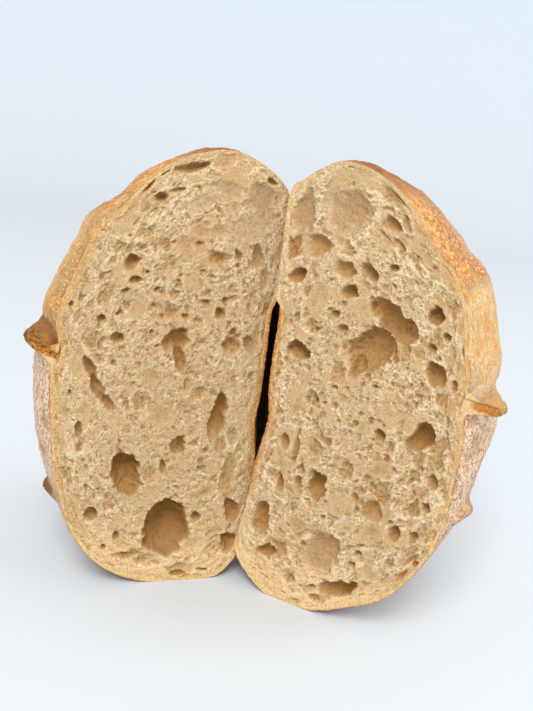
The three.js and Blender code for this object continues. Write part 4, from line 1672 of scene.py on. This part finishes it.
    def material(self) -> bpy.types.Material:
        """The crust's material.

        Returns:
            The new material.
        """
        n = Nodes("crust")
        colour = n.mix(n.noise(5, 4, 0.65, 0.38, 0.66), self.brown, self.dark)
        colour = n.coated(
            colour,
            (n.layer("upper"), self.above(n)),
            (n.layer("bottom"), n.mix(n.noise(6, 4, 0.6, 0.4, 0.7), self.under, self.dark)),
            (n.layer("opening"), self.inside(n)),
        )
        stipple = n.noise(1.6, 4, 0.8, 0.42, 0.53)
        dusted = n.times(n.layer("flour"), n.spread(stipple, 0.0, 1.0, 0.1, 1.0))
        dusted = n.times(dusted, n.noise(14, 3, 0.6, 0.18, 0.5))
        colour = n.mix(dusted, colour, self.flour)
        rough_top = n.mix(n.noise(2.6, 4, 0.7, 0.42, 0.62), self.olive, self.burnt)
        rough_top = n.mix(n.noise(2.0, 4, 0.8, 0.54, 0.68, 0.7), rough_top, self.golden)
        colour = n.coated(
            colour,
            (n.times(n.layer("ear"), 0.6), self.golden),
            (n.layer("char"), rough_top),
        )
        charred = n.times(n.layer("burnt"), n.noise(2.5, 3, 0.7, 0.30, 0.55))
        colour = n.coated(
            colour,
            (charred, self.burnt),
            # painted shade: the crease above each ear darkened
            (n.times(n.layer("crease"), 0.8), self.dark),
        )
        rim = n.times(n.layer("lip"), n.spread(n.layer("warm"), 0.0, 1.0, 0.2, 0.8))
        colour = n.coated(
            colour,
            (n.times(rim, n.noise(4, 3, 0.6, 0.3, 0.6)), self.burnt),
            (n.layer("cut"), self.edge(n)),
            # painted shade: the slot's walls made near black
            (n.times(n.layer("deep"), 0.92), self.slot_shade),
        )
        n.feed(n.surface.inputs["Base Color"], colour)
        n.feed(n.surface.inputs["Roughness"], n.spread(dusted, 0.0, 1.0, 0.5, 0.9))
        fine = n.bump(n.noise(1.2, 4, 0.7), 0.4)
        fine = n.bump(n.noise(4.0, 3, 0.6), 0.7, fine)
        n.feed(n.surface.inputs["Normal"], fine)
        n.surface.inputs["Specular IOR Level"].default_value = 0.15
        return n.material


# ------------------------------------------------------------------ the loaf and the studio


@dataclass
class LoafHalf:
    """One half of the loaf, dressed.

    Attributes:
        plan: its sizes.
        crumb, crust: the materials that both halves share.
    """

    plan: HalfPlan
    crumb: bpy.types.Material
    crust: bpy.types.Material

    def build(self) -> list[bpy.types.Object]:
        """Makes the two pieces, which together stand for the half's solid.

        Returns:
            The crumb and the crust.
        """
        form = HalfForm(self.plan)
        pieces = [Crumb(form).build(), Crust(form).build()]
        for piece, material in zip(pieces, (self.crumb, self.crust)):
            piece.data.materials.append(material)
            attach(piece, "root")
            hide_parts(self.plan.node)
            LOG.info("%s: %d faces", piece.name, len(piece.data.polygons))
        return pieces


@dataclass
class Studio:
    """The pale floor and sweep, the lights and the camera.

    Attributes:
        floor: the colour of the floor and of the sweep that it turns up into.
        pitch: how far the camera looks down, in degrees.
        roll: how far it is turned about its view, in degrees.
        distance: from the camera to what it aims at, in mm.
        aim: the point that it aims at, in mm.
        focal: its focal length, in pixels of the picture.
        radius, rise: of the flat floor, and of the quarter circle round it, in metres.
        air: the colour of the light from all sides, and air_strength: how strong it is.
    """

    floor: Colour = tint(212, 221, 230)
    pitch: float = 17.0
    roll: float = 6.5
    distance: float = 480.0
    aim: tuple[float, float, float] = (0.6, -17.7, 133.7)
    focal: float = 900.0
    radius: float = 1.3
    rise: float = 0.7
    air: Colour = tint(244, 241, 237)
    air_strength: float = 0.85

    def camera(self) -> bpy.types.Object:
        """The camera, at its angle and distance from the loaf.

        Returns:
            The new camera.
        """
        data = bpy.data.cameras.new("camera")
        data.sensor_width = 36.0
        data.lens = self.focal / FRAME_HEIGHT * data.sensor_width
        camera = bpy.data.objects.new("camera", data)
        pitch, roll = math.radians(self.pitch), math.radians(self.roll)
        ahead = Vector((0, math.cos(pitch), -math.sin(pitch)))
        side, up = Vector((1, 0, 0)), Vector((0, math.sin(pitch), math.cos(pitch)))
        right = math.cos(roll) * side + math.sin(roll) * up
        above = -math.sin(roll) * side + math.cos(roll) * up
        matrix = camera.matrix_world.copy()
        place = (Vector(self.aim) - ahead * self.distance) * MM
        for column, axis in enumerate((right, above, -ahead, place)):
            for row in range(3):
                matrix[row][column] = axis[row]
        camera.matrix_world = matrix
        bpy.context.scene.collection.objects.link(camera)
        bpy.context.scene.camera = camera
        return camera

    def sweep(self) -> bpy.types.Object:
        """The floor: a flat disc whose edge turns up in a quarter circle, as a profile carried round.

        Returns:
            The floor's object.
        """
        turns = np.linspace(0, 2 * math.pi, 96, endpoint=False)
        bend = np.linspace(0, math.pi / 2, 16)
        reach = np.concatenate([[0.25, 0.6], self.radius + self.rise * np.sin(bend)])
        height = np.concatenate([[0, 0], self.rise * (1 - np.cos(bend))])
        ring = np.stack([np.cos(turns), np.sin(turns)], -1)
        points = np.concatenate([reach[:, None, None] * ring[None],
                                 np.broadcast_to(height[:, None, None], (len(reach), len(turns), 1))], -1)
        rows = np.arange(points.shape[0] * len(turns)).reshape(points.shape[0], -1)
        flat = np.concatenate([points.reshape(-1, 3), [[0, 0, 0]]])
        mesh = bpy.data.meshes.new("floor")
        mesh.from_pydata(flat.tolist(), [], band(rows).tolist() + fan(len(flat) - 1, rows[0], True).tolist())
        mesh.polygons.foreach_set("use_smooth", np.ones(len(mesh.polygons), bool))
        floor = bpy.data.objects.new("floor", mesh)
        bpy.context.scene.collection.objects.link(floor)
        n = Nodes("floor")
        n.surface.inputs["Base Color"].default_value = self.floor
        n.surface.inputs["Roughness"].default_value = 0.9
        mesh.materials.append(n.material)
        return floor

    def light(self, name: str, place: tuple[float, float, float], size: float, watts: float,
              colour: Colour) -> None:
        """A square soft light that faces the loaf.

        Args:
            name: its name.
            place: where it is, in metres.
            size: its side, in metres.
            watts: its power.
            colour: its colour.
        """
        data = bpy.data.lights.new(name, "AREA")
        data.size, data.energy, data.color = size, watts, colour[:3]
        lamp = bpy.data.objects.new(name, data)
        lamp.location = place
        lamp.rotation_euler = (Vector((0, 0, 0.12)) - Vector(place)).to_track_quat("-Z", "Y").to_euler()
        bpy.context.scene.collection.objects.link(lamp)

    def build(self) -> None:
        """Sets up the floor, the lights, the air's own light and the camera."""
        self.sweep()
        self.light("key", (-0.3, -2.2, 2.6), 1.5, 75.5, tint(255, 252, 248))
        self.light("side", (2.2, 0.0, 1.4), 1.2, 16.0, tint(255, 250, 244))
        world = bpy.data.worlds.new("air")
        world.use_nodes = True
        background = world.node_tree.nodes["Background"]
        background.inputs["Color"].default_value = self.air
        background.inputs["Strength"].default_value = self.air_strength
        bpy.context.scene.world = world
        bpy.context.scene.view_settings.view_transform = "Standard"
        self.camera()


def main() -> None:
    """Builds the loaf and its studio, and reports each piece."""
    Studio().build()
    crumb, crust = CrumbFinish().material(), CrustFinish().material()
    for plan in (LEFT, RIGHT):
        LoafHalf(plan, crumb, crust).build()


if __name__ == "__main__":
    main()
